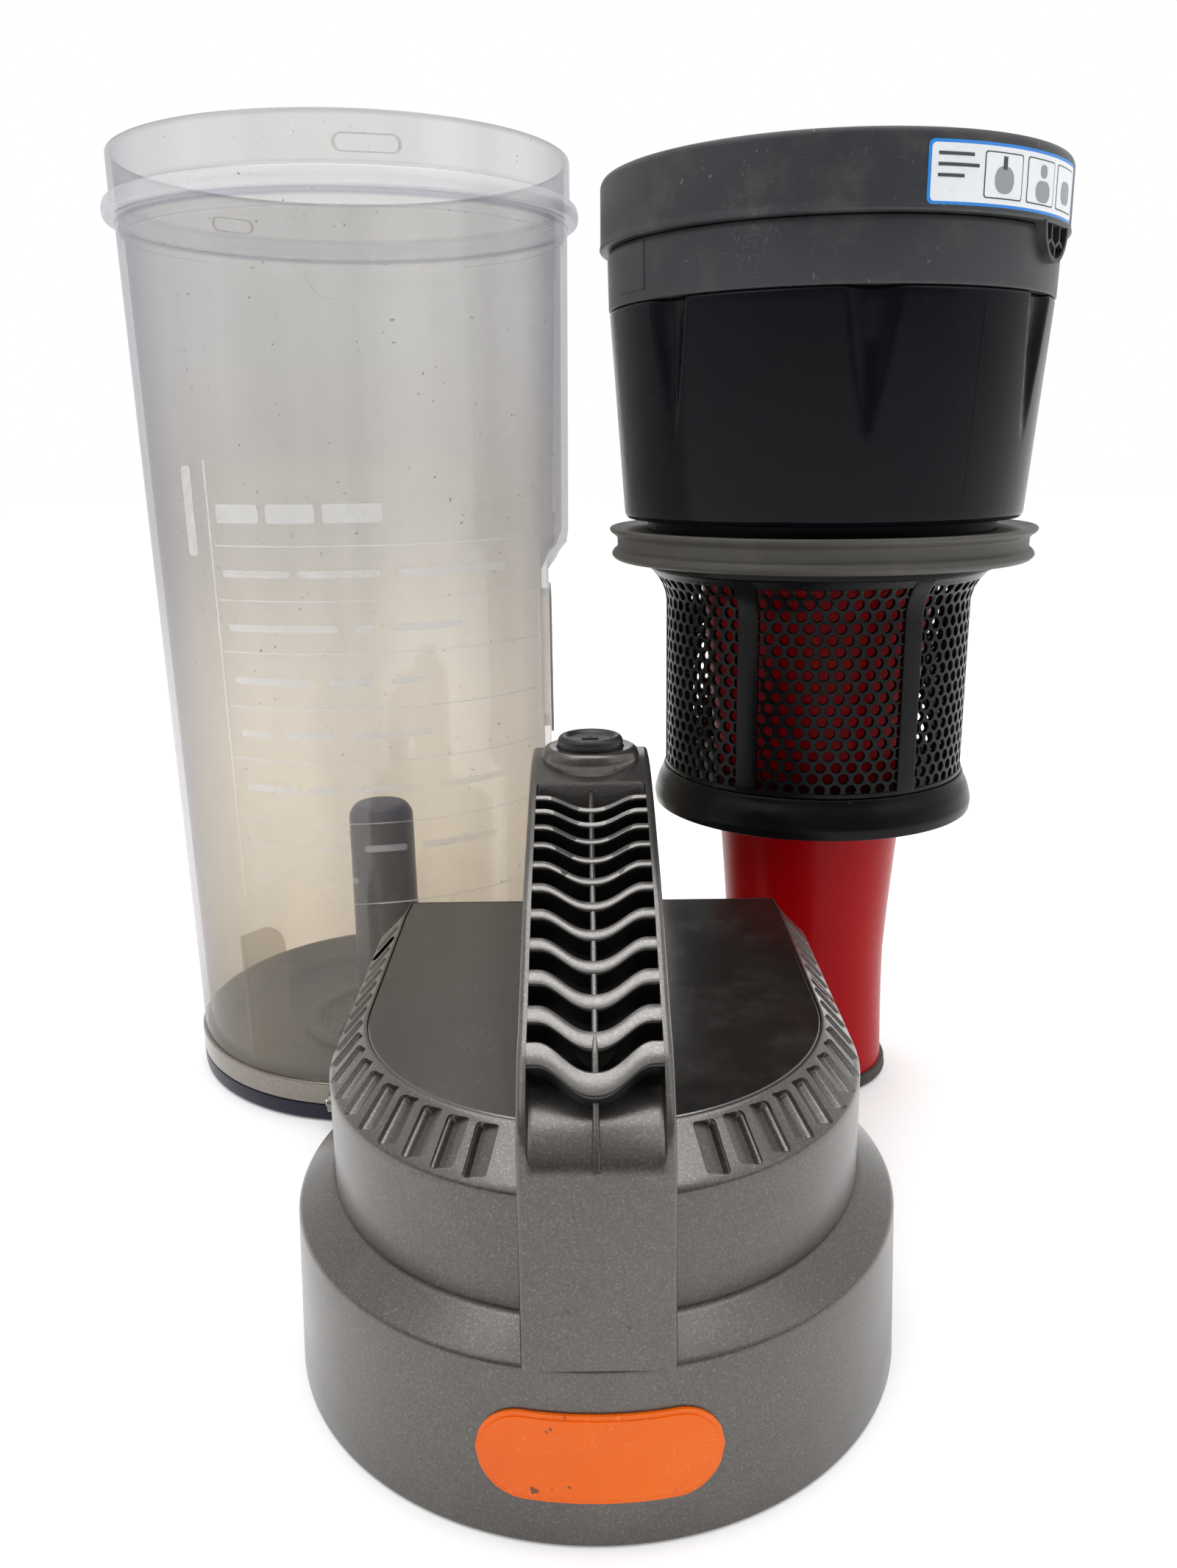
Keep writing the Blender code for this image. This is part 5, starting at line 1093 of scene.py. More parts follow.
shroud_plastic = moulded(
    "shroud_black", (0.0024, 0.0024, 0.0030), 0.26, 1.35, 300.0, dust=0.02, wear=0.08, ior=1.24,
)
pitch_across = 5.7 * MM
pitch_up = 4.25 * MM
hole_r = 1.88 * MM
screen_wall = 1.6 * MM
cell_tip = (pitch_up ** 2 + pitch_across ** 2 / 4) / (2 * pitch_up)
cell_flank = pitch_up - cell_tip
cell = [
    (pitch_across / 2, cell_flank),
    (0.0, cell_tip),
    (-pitch_across / 2, cell_flank),
    (-pitch_across / 2, -cell_flank),
    (0.0, -cell_tip),
    (pitch_across / 2, -cell_flank),
]
edge_points = []
for k in range(6):
    a, b = Vector(cell[k]), Vector(cell[(k + 1) % 6])
    edge_points += [a, a.lerp(b, 0.5)]
screen_r = 59.2 * MM
for panel in range(6):
    verts, faces = [], []
    middle = math.radians(-4.0 + 60.0 * panel - 90.0)

    def on_wall(a, z, inside):
        r = shroud_r(z) - (screen_wall if inside else 0.0)
        angle = middle + a / screen_r
        return (r * math.cos(angle), r * math.sin(angle), z)

    for row in range(18):
        count = 10 if row % 2 == 0 else 9
        z = shroud_low + 3.2 * MM + pitch_up * row
        for column in range(count):
            a = (column - (count - 1) / 2) * pitch_across
            base = len(verts)
            for inside in (False, True):
                verts += [on_wall(a + e.x, z + e.y, inside) for e in edge_points]
                for e in edge_points:
                    way = e.normalized() * (hole_r + (0.0 if inside else 0.22 * MM))
                    verts.append(on_wall(a + way.x, z + way.y, inside))
            way_in = [e.normalized() * hole_r for e in edge_points]
            verts += [
                tuple(Vector(on_wall(a + w.x, z + w.y, False)).lerp(
                    Vector(on_wall(a + w.x, z + w.y, True)), 0.22,
                )) for w in way_in
            ]
            for k in range(12):
                n = (k + 1) % 12
                faces.append((base + k, base + n, base + 12 + n, base + 12 + k))
                faces.append((base + 24 + k, base + 36 + k, base + 36 + n, base + 24 + n))
                faces.append((base + 12 + k, base + 12 + n, base + 48 + n, base + 48 + k))
                faces.append((base + 48 + k, base + 48 + n, base + 36 + n, base + 36 + k))
    screen = mesh_piece(
        f"shroud_screen_{panel + 1}", verts, faces, cyclone_at, "cyclone", "black_plastic", shroud_plastic, 50,
    )
    if panel == 0:
        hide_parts("mesh_shroud")
    edge = 60.0 * panel - 34.0
    strip = wall_patch(
        edge - 3.9, edge + 3.9, 134.7 * MM, 213.6 * MM, shroud_r, -1.8 * MM, 2.15 * MM, 8, 26
    )
    shroud_rib = mesh_piece(
        f"shroud_rib_{panel + 1}", *strip, cyclone_at, "cyclone", "black_plastic", shroud_plastic
    )
    bevelled(shroud_rib, 0.3 * MM)


def shroud_band(name, low, high, lift, wall):
    heights = [low + (high - low) * k / 6 for k in range(7)]
    outline = [(shroud_r(z) + lift, z) for z in heights] + [(shroud_r(z) - wall, z) for z in reversed(heights)]
    return mesh_piece(name, *lathe_grid(outline, 192), cyclone_at, "cyclone", "black_plastic", shroud_plastic)


bevelled(shroud_band("shroud_lower_band", 134.5 * MM, 136.3 * MM, 0.35 * MM, 1.8 * MM), 0.25 * MM)
bevelled(shroud_band("shroud_upper_band", 211.2 * MM, 214.2 * MM, 0.1 * MM, 1.8 * MM), 0.25 * MM)


# ---- Skirt under the shroud ----
# A black cone clipped below the screen, which keeps dust from rising again.
skirt = rounded(
    [
        (38.5 * MM, 131.8 * MM, 0.4 * MM),
        (57.8 * MM, 131.8 * MM, 0.8 * MM),
        (61.4 * MM, 122.6 * MM, 0.8 * MM),
        (61.8 * MM, 119.5 * MM, 0.5 * MM),
        (63.6 * MM, 119.5 * MM, 0.5 * MM),
        (64.0 * MM, 123.0 * MM, 0.9 * MM),
        (62.6 * MM, 128.6 * MM, 2.0 * MM),
        (60.8 * MM, 132.2 * MM, 0.8 * MM),
        (60.2 * MM, 134.2 * MM, 0.5 * MM),
        (38.5 * MM, 134.2 * MM, 0.4 * MM),
    ],
    5,
)
skirt_cone = mesh_piece(
    "shroud_cone", *lathe_grid(skirt, 160), cyclone_at, "cyclone", "black_plastic", shroud_plastic, 50,
)
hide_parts("shroud_skirt")


# ---- Red dust collector and its foot seal ----
# The fine dust falls into this tube, blow-moulded in red plastic with a satin gloss. A soft black
# ring on its foot seals it to the seat in the base door.
def collector_r(z):
    waist = 0.25 * 217.7 * MM
    if z < waist:
        return 32.7 * MM + 1.3 * MM * (1 - z / waist) ** 2
    share = (z - waist) / (217.7 * MM - waist)
    return 32.7 * MM + 13.7 * MM * share ** 1.15


red_plastic = moulded(
    "collector_red", (0.36, 0.0002, 0.0030), 0.26, 1.12, 130.0, dust=0.015, wear=0.03,
    dust_colour=(0.30, 0.04, 0.04), ior=1.20,
)
levels = [5.4 * MM + (222.4 - 5.4) * MM * k / 48 for k in range(49)]
tube = [(collector_r(z) - 0.02 * MM, z) for z in levels] + [
    (collector_r(z) - 1.8 * MM, z)
    for z in reversed(levels)
]
red_tube = mesh_piece(
    "red_collector", *lathe_grid(tube, 128), cyclone_at, "cyclone", "red_plastic", red_plastic, 50,
)
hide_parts("dust_collector")
foot_rubber = moulded("foot_seal_rubber", (0.040, 0.036, 0.034), 0.55, 1.3, 200.0, dust=0.35)
foot = rounded(
    [
        (28.6 * MM, 0.0, 0.5 * MM),
        (35.0 * MM, 0.0, 0.9 * MM),
        (36.0 * MM, 1.4 * MM, 0.8 * MM),
        (34.9 * MM, 2.6 * MM, 0.5 * MM),
        (35.6 * MM, 4.0 * MM, 0.6 * MM),
        (35.2 * MM, 5.1 * MM, 0.4 * MM),
        (28.6 * MM, 5.1 * MM, 0.4 * MM),
    ],
    4,
)
foot_seal = mesh_piece(
    "collector_foot_seal", *lathe_grid(foot, 128), cyclone_at, "cyclone", "black_rubber", foot_rubber, 50,
)
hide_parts("collector_seal")


# ---- Filter pack: foam disc, frame and red pull ----
# An open-cell foam disc sits on a felt pad in the cup. A black spoked frame holds it down, and the
# red loop folds flat on the frame and lifts the pack out.
foam, foam_shader, cells = new_material("open_cell_foam")
where = place_of(cells)
pores = cells.node("ShaderNodeTexVoronoi", {"feature": "F1"}, {"Vector": where, "Scale": 620.0})
soot = noise_at(cells, where, 20.0, 4.0)
tone = mixed(cells, between(cells, pores, 0.1, 0.7), (0.010, 0.014, 0.024), (0.075, 0.095, 0.15))
tone = mixed(cells, between(cells, soot, 0.4, 0.7) * 0.5, tone, (0.14, 0.13, 0.12))
feed(cells.tree, foam_shader, Base_Color=tone, Roughness=0.95, Normal=bump_from(cells, pores, 0.7, 0.0006))
foam_shader.inputs["Sheen Weight"].default_value = 0.3
levels = 9
foam_outline = [(0.05 * MM, 318.2 * MM), (73.6 * MM, 318.2 * MM), (74.8 * MM, 319.2 * MM)]
foam_outline += [
    (75.0 * MM - 0.5 * MM * math.sin(math.pi * k / levels), 319.2 * MM + 24.6 * MM * k / levels)
    for k in range(levels + 1)
]
foam_outline += [(73.4 * MM, 344.9 * MM)]
foam_outline += [
    (r * MM, 344.6 * MM + 0.5 * MM * math.cos(r * 0.11))
    for r in (62, 48, 34, 20, 8)
] + [(0.05 * MM, 345.1 * MM)]
foam_disc = mesh_piece(
    "foam_disc", *lathe_grid(foam_outline, 128), cyclone_at, "filter", "filter_foam", foam, 60,
)
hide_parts("foam_filter")

frame_plastic = moulded("filter_frame_plastic", (0.016, 0.017, 0.019), 0.36, dust=0.2)
carrier = rounded(
    [
        (75.4 * MM, 332.95 * MM, 0.3 * MM),
        (82.2 * MM, 332.95 * MM, 0.3 * MM),
        (82.2 * MM, 335.1 * MM, 0.6 * MM),
        (77.6 * MM, 335.1 * MM, 0.8 * MM),
        (77.5 * MM, 348.1 * MM, 1.0 * MM),
        (69.2 * MM, 348.1 * MM, 0.8 * MM),
        (69.2 * MM, 345.5 * MM, 0.4 * MM),
        (75.4 * MM, 345.5 * MM, 0.4 * MM),
    ],
    4,
)
carrier_ring = mesh_piece(
    "filter_carrier", *lathe_grid(carrier, 160), cyclone_at, "filter", "black_plastic", frame_plastic,
)
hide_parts("filter_frame")
for k in range(2):
    spoke = block(-70.5 * MM, 70.5 * MM, -4.6 * MM, 4.6 * MM, 345.5 * MM, 347.9 * MM - k * 0.2 * MM, 90.0 * k)
    bevelled(
        mesh_piece(f"filter_spoke_{k + 1}", *spoke, cyclone_at, "filter", "black_plastic", frame_plastic),
        0.6 * MM, 3,
    )
for k, x in enumerate((-18.0 * MM, 15.3 * MM)):
    cheek = rounded(
        [
            (-16.6 * MM, 346.0 * MM),
            (-4.0 * MM, 346.0 * MM),
            (-4.0 * MM, 351.0 * MM, 2 * MM),
            (-10.0 * MM, 352.8 * MM, 2 * MM),
            (-16.6 * MM, 352.8 * MM, 2 * MM),
        ],
        4,
    )
    bevelled(
        mesh_piece(
            f"pull_cheek_{k + 1}", *side_prism(cheek, x, x + 2.7 * MM), cyclone_at, "filter", "black_plastic",
            frame_plastic,
        ),
        0.3 * MM,
    )
pull_plastic = moulded("pull_red", (0.50, 0.006, 0.014), 0.32, 1.1, 160.0, dust=0.08, wear=0.1)
loop = [
    (0, -12.6), (12.6, -12.6), (12.9, -2), (12.6, 6), (9.4, 12.8), (0, 14.3), (-9.4, 12.8), (-12.6, 6),
    (-12.9, -2), (-12.6, -12.6),
]
loop_line = []
for i in range(1, len(loop)):
    for k in range(5):
        a, b = Vector(loop[i - 1]), Vector(loop[i])
        loop_line.append(a.lerp(b, k / 5) * MM)
loop_line.append(Vector(loop[-1]) * MM)
rings = []
for i, point in enumerate(loop_line):
    ahead = loop_line[(i + 1) % len(loop_line)] - loop_line[i - 1]
    side = Vector((-ahead.y, ahead.x)).normalized()
    ring = []
    for k in range(12):
        turn = math.tau * k / 12
        flat = side * 1.75 * MM * math.cos(turn)
        ring.append((point.x + flat.x, point.y + flat.y, 351.2 * MM + 0.95 * MM * math.sin(turn)))
    rings.append(ring)
rings.append(rings[0])
red_pull = mesh_piece(
    "red_pull_loop", *stack(rings, False), cyclone_at, "filter_pull", "red_plastic", pull_plastic, 60,
)
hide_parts("filter_pull")
pin = [(y * MM, z * MM) for y, z in (
    (-14.9, 351.2), (-14.6, 350.6), (-14.0, 350.3), (-13.4, 350.6), (-13.1, 351.2), (-13.4, 351.8),
    (-14.0, 352.1), (-14.6, 351.8),
)]
bevelled(
    mesh_piece(
        "pull_stub", *side_prism(pin, -17.2 * MM, 17.2 * MM), cyclone_at, "filter_pull", "red_plastic",
        pull_plastic,
    ), 0.1 * MM
)


# ---- Lid shell ----
# The lid is one ABS moulding sprayed in metallic pewter: a round skirt that slips over the bin's
# rim, a sloped shoulder, and a D-shaped dome whose chamfer carries a row of blind pockets. The air
# leaves through a duct in the dome's rear face, with the lock's slot above it.
lid_at = Vector((0.092811, -0.1972, 0))
pewter = metallic_paint("lid_pewter_paint", (0.074, 0.068, 0.063), (0.112, 0.103, 0.095), 0.29, 0.8, chips=0.12)
skirt_top = 49.7 * MM
lid_top = 98.3 * MM


def skirt_r(z):
    return (90.0 - 1.8 * z / skirt_top) * MM


def dome_plan(half, shift, rear, corner_in, corner_back, corner=3.0 * MM):
    """Plan of the dome: a half circle in front, straight sides and cut rear corners."""
    points = [
        (
            half * math.cos(math.pi + math.pi * i / 64), shift + half * math.sin(math.pi + math.pi * i / 64),
        ) for i in range(65)
    ]
    side_steps = 8
    points += [
        (half, shift + (rear - corner_back - 4 * MM - shift) * k / side_steps)
        for k in range(1, side_steps + 1)
    ]
    cornered = rounded(
        [
            (half, rear - corner_back - 4 * MM),
            (half, rear - corner_back, corner),
            (half - corner_in, rear, corner),
            (half - corner_in - 4 * MM, rear),
        ],
        4,
    )[1:]
    points += cornered[:-1]
    points += [((half - corner_in - 4 * MM) * (1 - 2 * k / 12), rear) for k in range(13)]
    points += [(-x, y) for x, y in reversed(cornered[:-1])]
    points += [
        (-half, shift + (rear - corner_back - 4 * MM - shift) * k / side_steps)
        for k in range(side_steps, 0, -1)
    ]
    return points


def dome_ring(blend, inset, z):
    """One level of the dome: blend 0 is the upright band and 1 is the crown's edge."""
    band = dome_plan(77.1 * MM - inset, 0.0, 110.0 * MM - inset, 8.6 * MM, 21.0 * MM)
    crown = dome_plan(67.8 * MM - inset, 8.0 * MM, 100.8 * MM - inset, 0.6 * MM, 12.0 * MM, 0.8 * MM)
    return [(a[0] + (b[0] - a[0]) * blend, a[1] + (b[1] - a[1]) * blend, z) for a, b in zip(band, crown)]


rings = [dome_ring(0, 2 * MM, 52.0 * MM), dome_ring(0, 0, 52.2 * MM)]
rings += [dome_ring(0, 0, z * MM) for z in (58, 64, 72, 80, 86, 88.2)]
rings += [dome_ring(0.02, 0, 89.0 * MM), dome_ring(0.07, 0, 89.75 * MM)]
rings += [dome_ring(t, 0, (89.3 + 9.0 * t - 0.12) * MM) for t in (0.14, 0.3, 0.5, 0.7, 0.86)]
rings += [dome_ring(0.93, 0, 97.72 * MM), dome_ring(0.975, 0, 98.1 * MM), dome_ring(1.0, 0.35 * MM, lid_top)]
dome_solid = loose_mesh("dome_blank", *stack(rings), place=lid_at)
skirt_line = rounded(
    [
        (0.02 * MM, 0.0),
        (90.0 * MM, 0.0, 0.8 * MM),
        (88.25 * MM, skirt_top, 1.4 * MM),
        (78.2 * MM, 56.2 * MM, 2.0 * MM),
        (76.0 * MM, 56.6 * MM),
        (0.02 * MM, 56.6 * MM),
    ],
    5,
)
shell_line = along(skirt_line, 9 * MM)
lid_shell = mesh_piece(
    "lid_shell_paint", *lathe_grid(shell_line, 192), lid_at, "lid", "pewter_paint", pewter, 40,
)
hollow_line = [
    (0.02 * MM, -5 * MM),
    (88.1 * MM, -5 * MM),
    (88.1 * MM, 18.0 * MM),
    (86.1 * MM, 19.0 * MM),
    (86.1 * MM, 47.9 * MM),
    (74.1 * MM, 47.9 * MM),
    (74.1 * MM, 55.0 * MM),
    (0.02 * MM, 55.0 * MM),
]
hollow = loose_mesh("hollow", *lathe_grid(hollow_line, 128), place=lid_at)
plenum_rings = [dome_ring(0, 2.4 * MM, 52.7 * MM), dome_ring(0, 2.4 * MM, 86.9 * MM)]
neck = dome_plan(64.0 * MM, 8.0 * MM, 97.0 * MM, 0.6 * MM, 12.0 * MM, 0.8 * MM)
plenum_rings.append([(x, y, 94.0 * MM) for x, y in neck])
plenum = loose_mesh("plenum", *stack(plenum_rings), place=lid_at)
seat_plan = dome_plan(67.25 * MM, 8.0 * MM, 100.25 * MM, 0.6 * MM, 12.0 * MM, 0.8 * MM)
recess = loose_mesh(
    "plate_recess", *stack([[(x, y, z) for x, y in seat_plan] for z in (96.6 * MM, 104 * MM)]), place=lid_at,
)


def rear_opening(name, half, low, high, corner):
    outline = rounded(
        [(-half, low, corner), (half, low, corner), (half, high, corner), (-half, high, corner)], 4,
    )
    return loose_mesh(
        name, *stack([[(x, y, z) for x, z in outline] for y in (102 * MM, 118 * MM)]), place=lid_at,
    )


port = rear_opening("duct_port", 45 * MM, 55.0 * MM, 74.0 * MM, 4 * MM)
slot = rear_opening("lock_slot", 5.5 * MM, 77.6 * MM, 91.2 * MM, 1.0 * MM)


def pocket(at, along_way, normal, length, width, depth):
    """A blind pocket's cutter: a rounded bar sunk into the chamfer, slightly narrower at its floor."""
    along_way = along_way.normalized()
    normal = normal.normalized()
    across = normal.cross(along_way)
    rings = []
    for high, shrink in (
        (1.6 * MM, 0.35), (0.35 * MM, 0.35), (-0.05 * MM, 0.0), (-0.5 * MM, -0.12), (-depth, -0.3),
    ):
        a = length / 2 + shrink * MM
        b = width / 2 + shrink * MM
        outline = rounded([(-a, -b, 1.1 * MM), (a, -b, 1.1 * MM), (a, b, 1.1 * MM), (-a, b, 1.1 * MM)], 3)
        rings.append([at + along_way * u + across * v + normal * high for u, v in outline])
    return stack(rings)


pocket_verts, pocket_faces = [], []


def add_pocket(edge_point, crown_point, outward):
    low = Vector((edge_point[0], edge_point[1], 89.3 * MM))
    high = Vector((crown_point[0], crown_point[1], lid_top))
    way = high - low
    normal = way.cross(outward.cross(way))
    if normal.z < 0:
        normal = -normal
    length = way.length - 4.2 * MM
    verts, faces = pocket(low.lerp(high, 0.5), way, normal, length, 5.9 * MM, 1.4 * MM)
    base = len(pocket_verts)
    pocket_verts.extend(verts)
    pocket_faces.extend(tuple(base + i for i in face) for face in faces)


for side in (-1, 1):
    for k in range(10):
        turn = math.radians(23.0 + 7.15 * k)
        out = Vector((side * math.sin(turn), -math.cos(turn), 0))
        edge = (77.1 * MM * out.x, 77.1 * MM * out.y)
        crown = (67.8 * MM * out.x, 8.0 * MM + 67.8 * MM * out.y)
        add_pocket(edge, crown, out)
    for k in range(8):
        y = 9.5 * MM + 9.4 * MM * k
        add_pocket((side * 77.1 * MM, y - 2.0 * MM), (side * 67.8 * MM, y + 5.0 * MM), Vector((side, 0, 0)))
pockets = loose_mesh("chamfer_pockets", pocket_verts, pocket_faces, place=lid_at)
cut_away(lid_shell, [dome_solid], "UNION")
cut_away(lid_shell, [hollow, plenum, recess, port, slot])
cut_away(lid_shell, [pockets])
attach(lid_shell, "lid")
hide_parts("lid_shell")


# ---- Top plate ----
# A thin plate in satin brown-grey, bonded into the crown's recess round the handle's rear leg.
plate_finish, plate_shader, satin = new_material("satin_top_plate")
where = place_of(satin)
clouds = noise_at(satin, where, 10.0, 4.0)
grain = noise_at(satin, where, 900.0, 2.0)
dust = between(satin, noise_at(satin, where, 55.0, 6.0, 0.65), 0.46, 0.75)
base = mixed(satin, between(satin, clouds, 0.3, 0.7), (0.0085, 0.0072, 0.0062), (0.014, 0.0118, 0.0102))
base = mixed(satin, dust * 0.07, base, (0.16, 0.145, 0.13))
rub = scratches_at(satin, where, 45.0, 0.010, 0.2)
base = mixed(satin, rub * 0.10, base, (0.16, 0.145, 0.13))
rough = between(satin, clouds, 0.3, 0.7, 0.20, 0.26) + dust * 0.08
feed(satin.tree, plate_shader, Base_Color=base, Roughness=rough, Normal=bump_from(satin, grain, 0.12, 0.0002))
plate_shader.inputs["IOR"].default_value = 2.1
plate_plan = dome_plan(66.95 * MM, 8.0 * MM, 99.95 * MM, 0.6 * MM, 12.0 * MM, 0.8 * MM)
inner_plan = dome_plan(66.55 * MM, 8.0 * MM, 99.55 * MM, 0.6 * MM, 12.0 * MM, 0.8 * MM)
plate_rings = [
    [(x, y, 96.9 * MM) for x, y in plate_plan],
    [(x, y, 98.05 * MM) for x, y in plate_plan],
    [(x, y, lid_top) for x, y in inner_plan],
]
top_plate = mesh_piece("crown_plate", *stack(plate_rings), lid_at, "lid", "satin_plate", plate_finish, 20)
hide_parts("lid_top_plate")


# ---- Front badge ----
# A plain orange oval of glossy plastic, stuck on the front of the skirt.
badge_finish, badge_shader, orange = new_material("orange_badge_gloss")
where = place_of(orange)
cloud = noise_at(orange, where, 22.0, 3.0)
base = mixed(orange, between(orange, cloud, 0.3, 0.7), (0.80, 0.118, 0.001), (0.88, 0.150, 0.002))
nicks = between(orange, noise_at(orange, where, 160.0, 3.0), 0.70, 0.73)
base = mixed(orange, nicks, base, (0.20, 0.06, 0.02))
rub = scratches_at(orange, where, 80.0, 0.012, 1.1)
base = mixed(orange, rub * 0.25, base, (0.95, 0.50, 0.30))
feed(orange.tree, badge_shader, Base_Color=base, Roughness=between(orange, cloud, 0.3, 0.7, 0.22, 0.34))
badge_shader.inputs["Coat Weight"].default_value = 0.05
badge_shader.inputs["IOR"].default_value = 1.3
badge_shader.inputs["Coat Roughness"].default_value = 0.12
for name, spread, low, high, lift, thick in (
    ("badge_base", 19.9, 13.4, 38.0, 0.05, 0.75),
    ("badge_face", 19.0, 14.8, 36.6, 0.55, 0.55),
):
    rings = []
    columns = 64
    for i in range(columns + 1):
        share = i / columns
        angle = math.radians(-spread + 2 * spread * share - 90.0)
        reach = min(share, 1 - share) * math.radians(2 * spread) * 89.0 * MM
        radius = (high - low) / 2 * MM
        tall = math.sqrt(max(0.0004, 1 - (1 - min(1.0, reach / radius)) ** 2)) * radius
        heights = [(low + high) / 2 * MM + tall * math.sin(math.pi * (k / 8 - 0.5)) for k in range(9)]
        front = [Vector((
            (skirt_r(z) + (lift + thick) * MM) * math.cos(angle),
            (skirt_r(z) + (lift + thick) * MM) * math.sin(angle), z,
        )) for z in heights]
        back = [
            Vector(((skirt_r(z) + lift * MM) * math.cos(angle), (skirt_r(z) + lift * MM) * math.sin(angle), z))
            for z in reversed(heights)
        ]
        rings.append(front + back)
    badge = mesh_piece(name, *stack(rings), lid_at, "lid", "orange_badge", badge_finish, 50)
    if name == "badge_base":
        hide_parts("front_badge")
    else:
        bevelled(badge, 0.25 * MM, 3, 50)


# ---- Handle ----
# A hollow carrying loop sprayed like the lid. Its front panel hooks over the skirt, two raised rails
# run up to the button, and eleven wave-shaped ribs with a spine between them close the top.
handle_paint = metallic_paint(
    "handle_pewter_paint", (0.074, 0.069, 0.064), (0.112, 0.104, 0.098), 0.24, 0.8, chips=0.45, dust=0.12,
)
grip_top = 166.0 * MM
half_wide = 18.7 * MM


def smooth_line(points, steps):
    """Points on a Catmull-Rom curve through the given ones."""
    ends = [points[0], *points, points[-1]]
    line = []
    for a, b, c, d in zip(ends, ends[1:], ends[2:], ends[3:]):
        a, b, c, d = Vector(a), Vector(b), Vector(c), Vector(d)
        for i in range(steps):
            t = i / steps
            line.append(
                0.5 * (2 * b + (c - a) * t + (2 * a - 5 * b + 4 * c - d) * t * t + (3 * b - a - 3 * c + d) * t ** 3)
            )
    line.append(Vector(points[-1]))
    return line


top_points = (
    (-76.5, -50.6), (-68.0, -42.6), (-55, -37), (-22, -20.4), (5, -10.6), (27, -3.8), (46, 0), (62, 0),
)
under_points = (
    (-60, 98.7 - 166.0), (-53, -58), (-40, -51), (-18, -41), (6, -32.5), (24, -28), (33, -29.5), (37, -36.5),
)
top_line = smooth_line([(y * MM, grip_top + d * MM) for y, d in top_points], 6)
under_line = smooth_line([(y * MM, grip_top + d * MM) for y, d in under_points], 5)


def on_line(line, y):
    for near, far in zip(line, line[1:]):
        if near.x <= y <= far.x:
            return near.lerp(far, (y - near.x) / (far.x - near.x))
    return line[0] if y < line[0].x else line[-1]


def moved_line(line, distance):
    """The line moved to its right-hand side."""
    moved = []
    for i, point in enumerate(line):
        ahead = (line[min(i + 1, len(line) - 1)] - line[max(i - 1, 0)]).normalized()
        moved.append(point + Vector((ahead.y, -ahead.x)) * distance)
    return moved


front_line = [
    (-76.2 * MM, 50.0 * MM), (-88.4 * MM, 50.0 * MM), (-86.6 * MM, 66 * MM), (-84.2 * MM, 89.3 * MM),
    (-83.2 * MM, 98 * MM), (-82.4 * MM, 104.0 * MM), (-81.2 * MM, 108.8 * MM), (-79.2 * MM, 112.6 * MM),
]
side_view = front_line + [tuple(p) for p in top_line]
side_view += [
    (65.0 * MM, grip_top - 1.2 * MM), (66.6 * MM, grip_top - 4.5 * MM), (67.5 * MM, grip_top - 12 * MM),
    (66.6 * MM, 120 * MM), (66.0 * MM, 98.6 * MM),
]
side_view += [(38.0 * MM, 98.6 * MM), (37.4 * MM, 112.0 * MM)]
side_view += [tuple(p) for p in reversed(under_line)]
side_view += [(-61.5 * MM, 96.0 * MM), (-66.0 * MM, 91.0 * MM), (-76.2 * MM, 84.0 * MM)]


def inset_loop(loop, distance):
    """The closed outline moved inwards."""
    area = sum(a[0] * b[1] - b[0] * a[1] for a, b in zip(loop, loop[1:] + loop[:1]))
    sign = 1.0 if area > 0 else -1.0
    moved = []
    for i, point in enumerate(loop):
        before = (Vector(point) - Vector(loop[i - 1])).normalized()
        after = (Vector(loop[(i + 1) % len(loop)]) - Vector(point)).normalized()
        middle = before + after
        middle = middle.normalized() if middle.length > 1e-6 else before
        normal = Vector((-middle.y, middle.x)) * sign
        cosine = max(0.5, normal.dot(Vector((-before.y, before.x)) * sign))
        moved.append(tuple(Vector(point) + normal * distance / cosine))
    return moved


edge_round = 1.6 * MM
rings = []
for k in range(5):
    turn = math.pi / 2 * k / 4
    loop = inset_loop(side_view, edge_round * (1 - math.sin(turn)))
    rings.append([(-half_wide + edge_round * (1 - math.cos(turn)), y, z) for y, z in loop])
rings += [[(-x, y, z) for x, y, z in ring] for ring in reversed(rings)]
handle = mesh_piece("handle_loop", *stack(rings), lid_at, "lid", "pewter_paint", handle_paint, 40)
channel_half = 16.4 * MM
floor_line = moved_line(top_line, 11.0 * MM)
scoop = [
    (-90.0 * MM, 94.0 * MM), (-83.4 * MM, 99.2 * MM), (-81.4 * MM, 103.2 * MM), (-78.4 * MM, 106.6 * MM),
    (-74.6 * MM, 109.2 * MM), (-70.4 * MM, 111.2 * MM), (-66.4 * MM, 112.8 * MM),
]
floor_part = [tuple(p) for p in floor_line if -60 * MM <= p.x <= 27.5 * MM]
above_part = [tuple(p) for p in moved_line(top_line, -6 * MM) if -70 * MM <= p.x <= 24 * MM]
channel_view = scoop + floor_part + [
    (29.2 * MM, grip_top - 4.5 * MM), (29.6 * MM, grip_top + 5 * MM),
] + above_part[::-1]
channel_view += [(-80 * MM, 121 * MM), (-90 * MM, 112 * MM)]
rings = []
for x, grow in ((-channel_half, -1.4), (-channel_half + 0.5 * MM, -0.5), (-channel_half + 1.6 * MM, 0.0)):
    loop = inset_loop(channel_view, -grow * MM)
    rings.append([(x, y, z) for y, z in loop])
rings += [[(-x, y, z) for x, y, z in ring] for ring in reversed(rings)]
channel = loose_mesh("grip_channel", *stack(rings), place=lid_at)
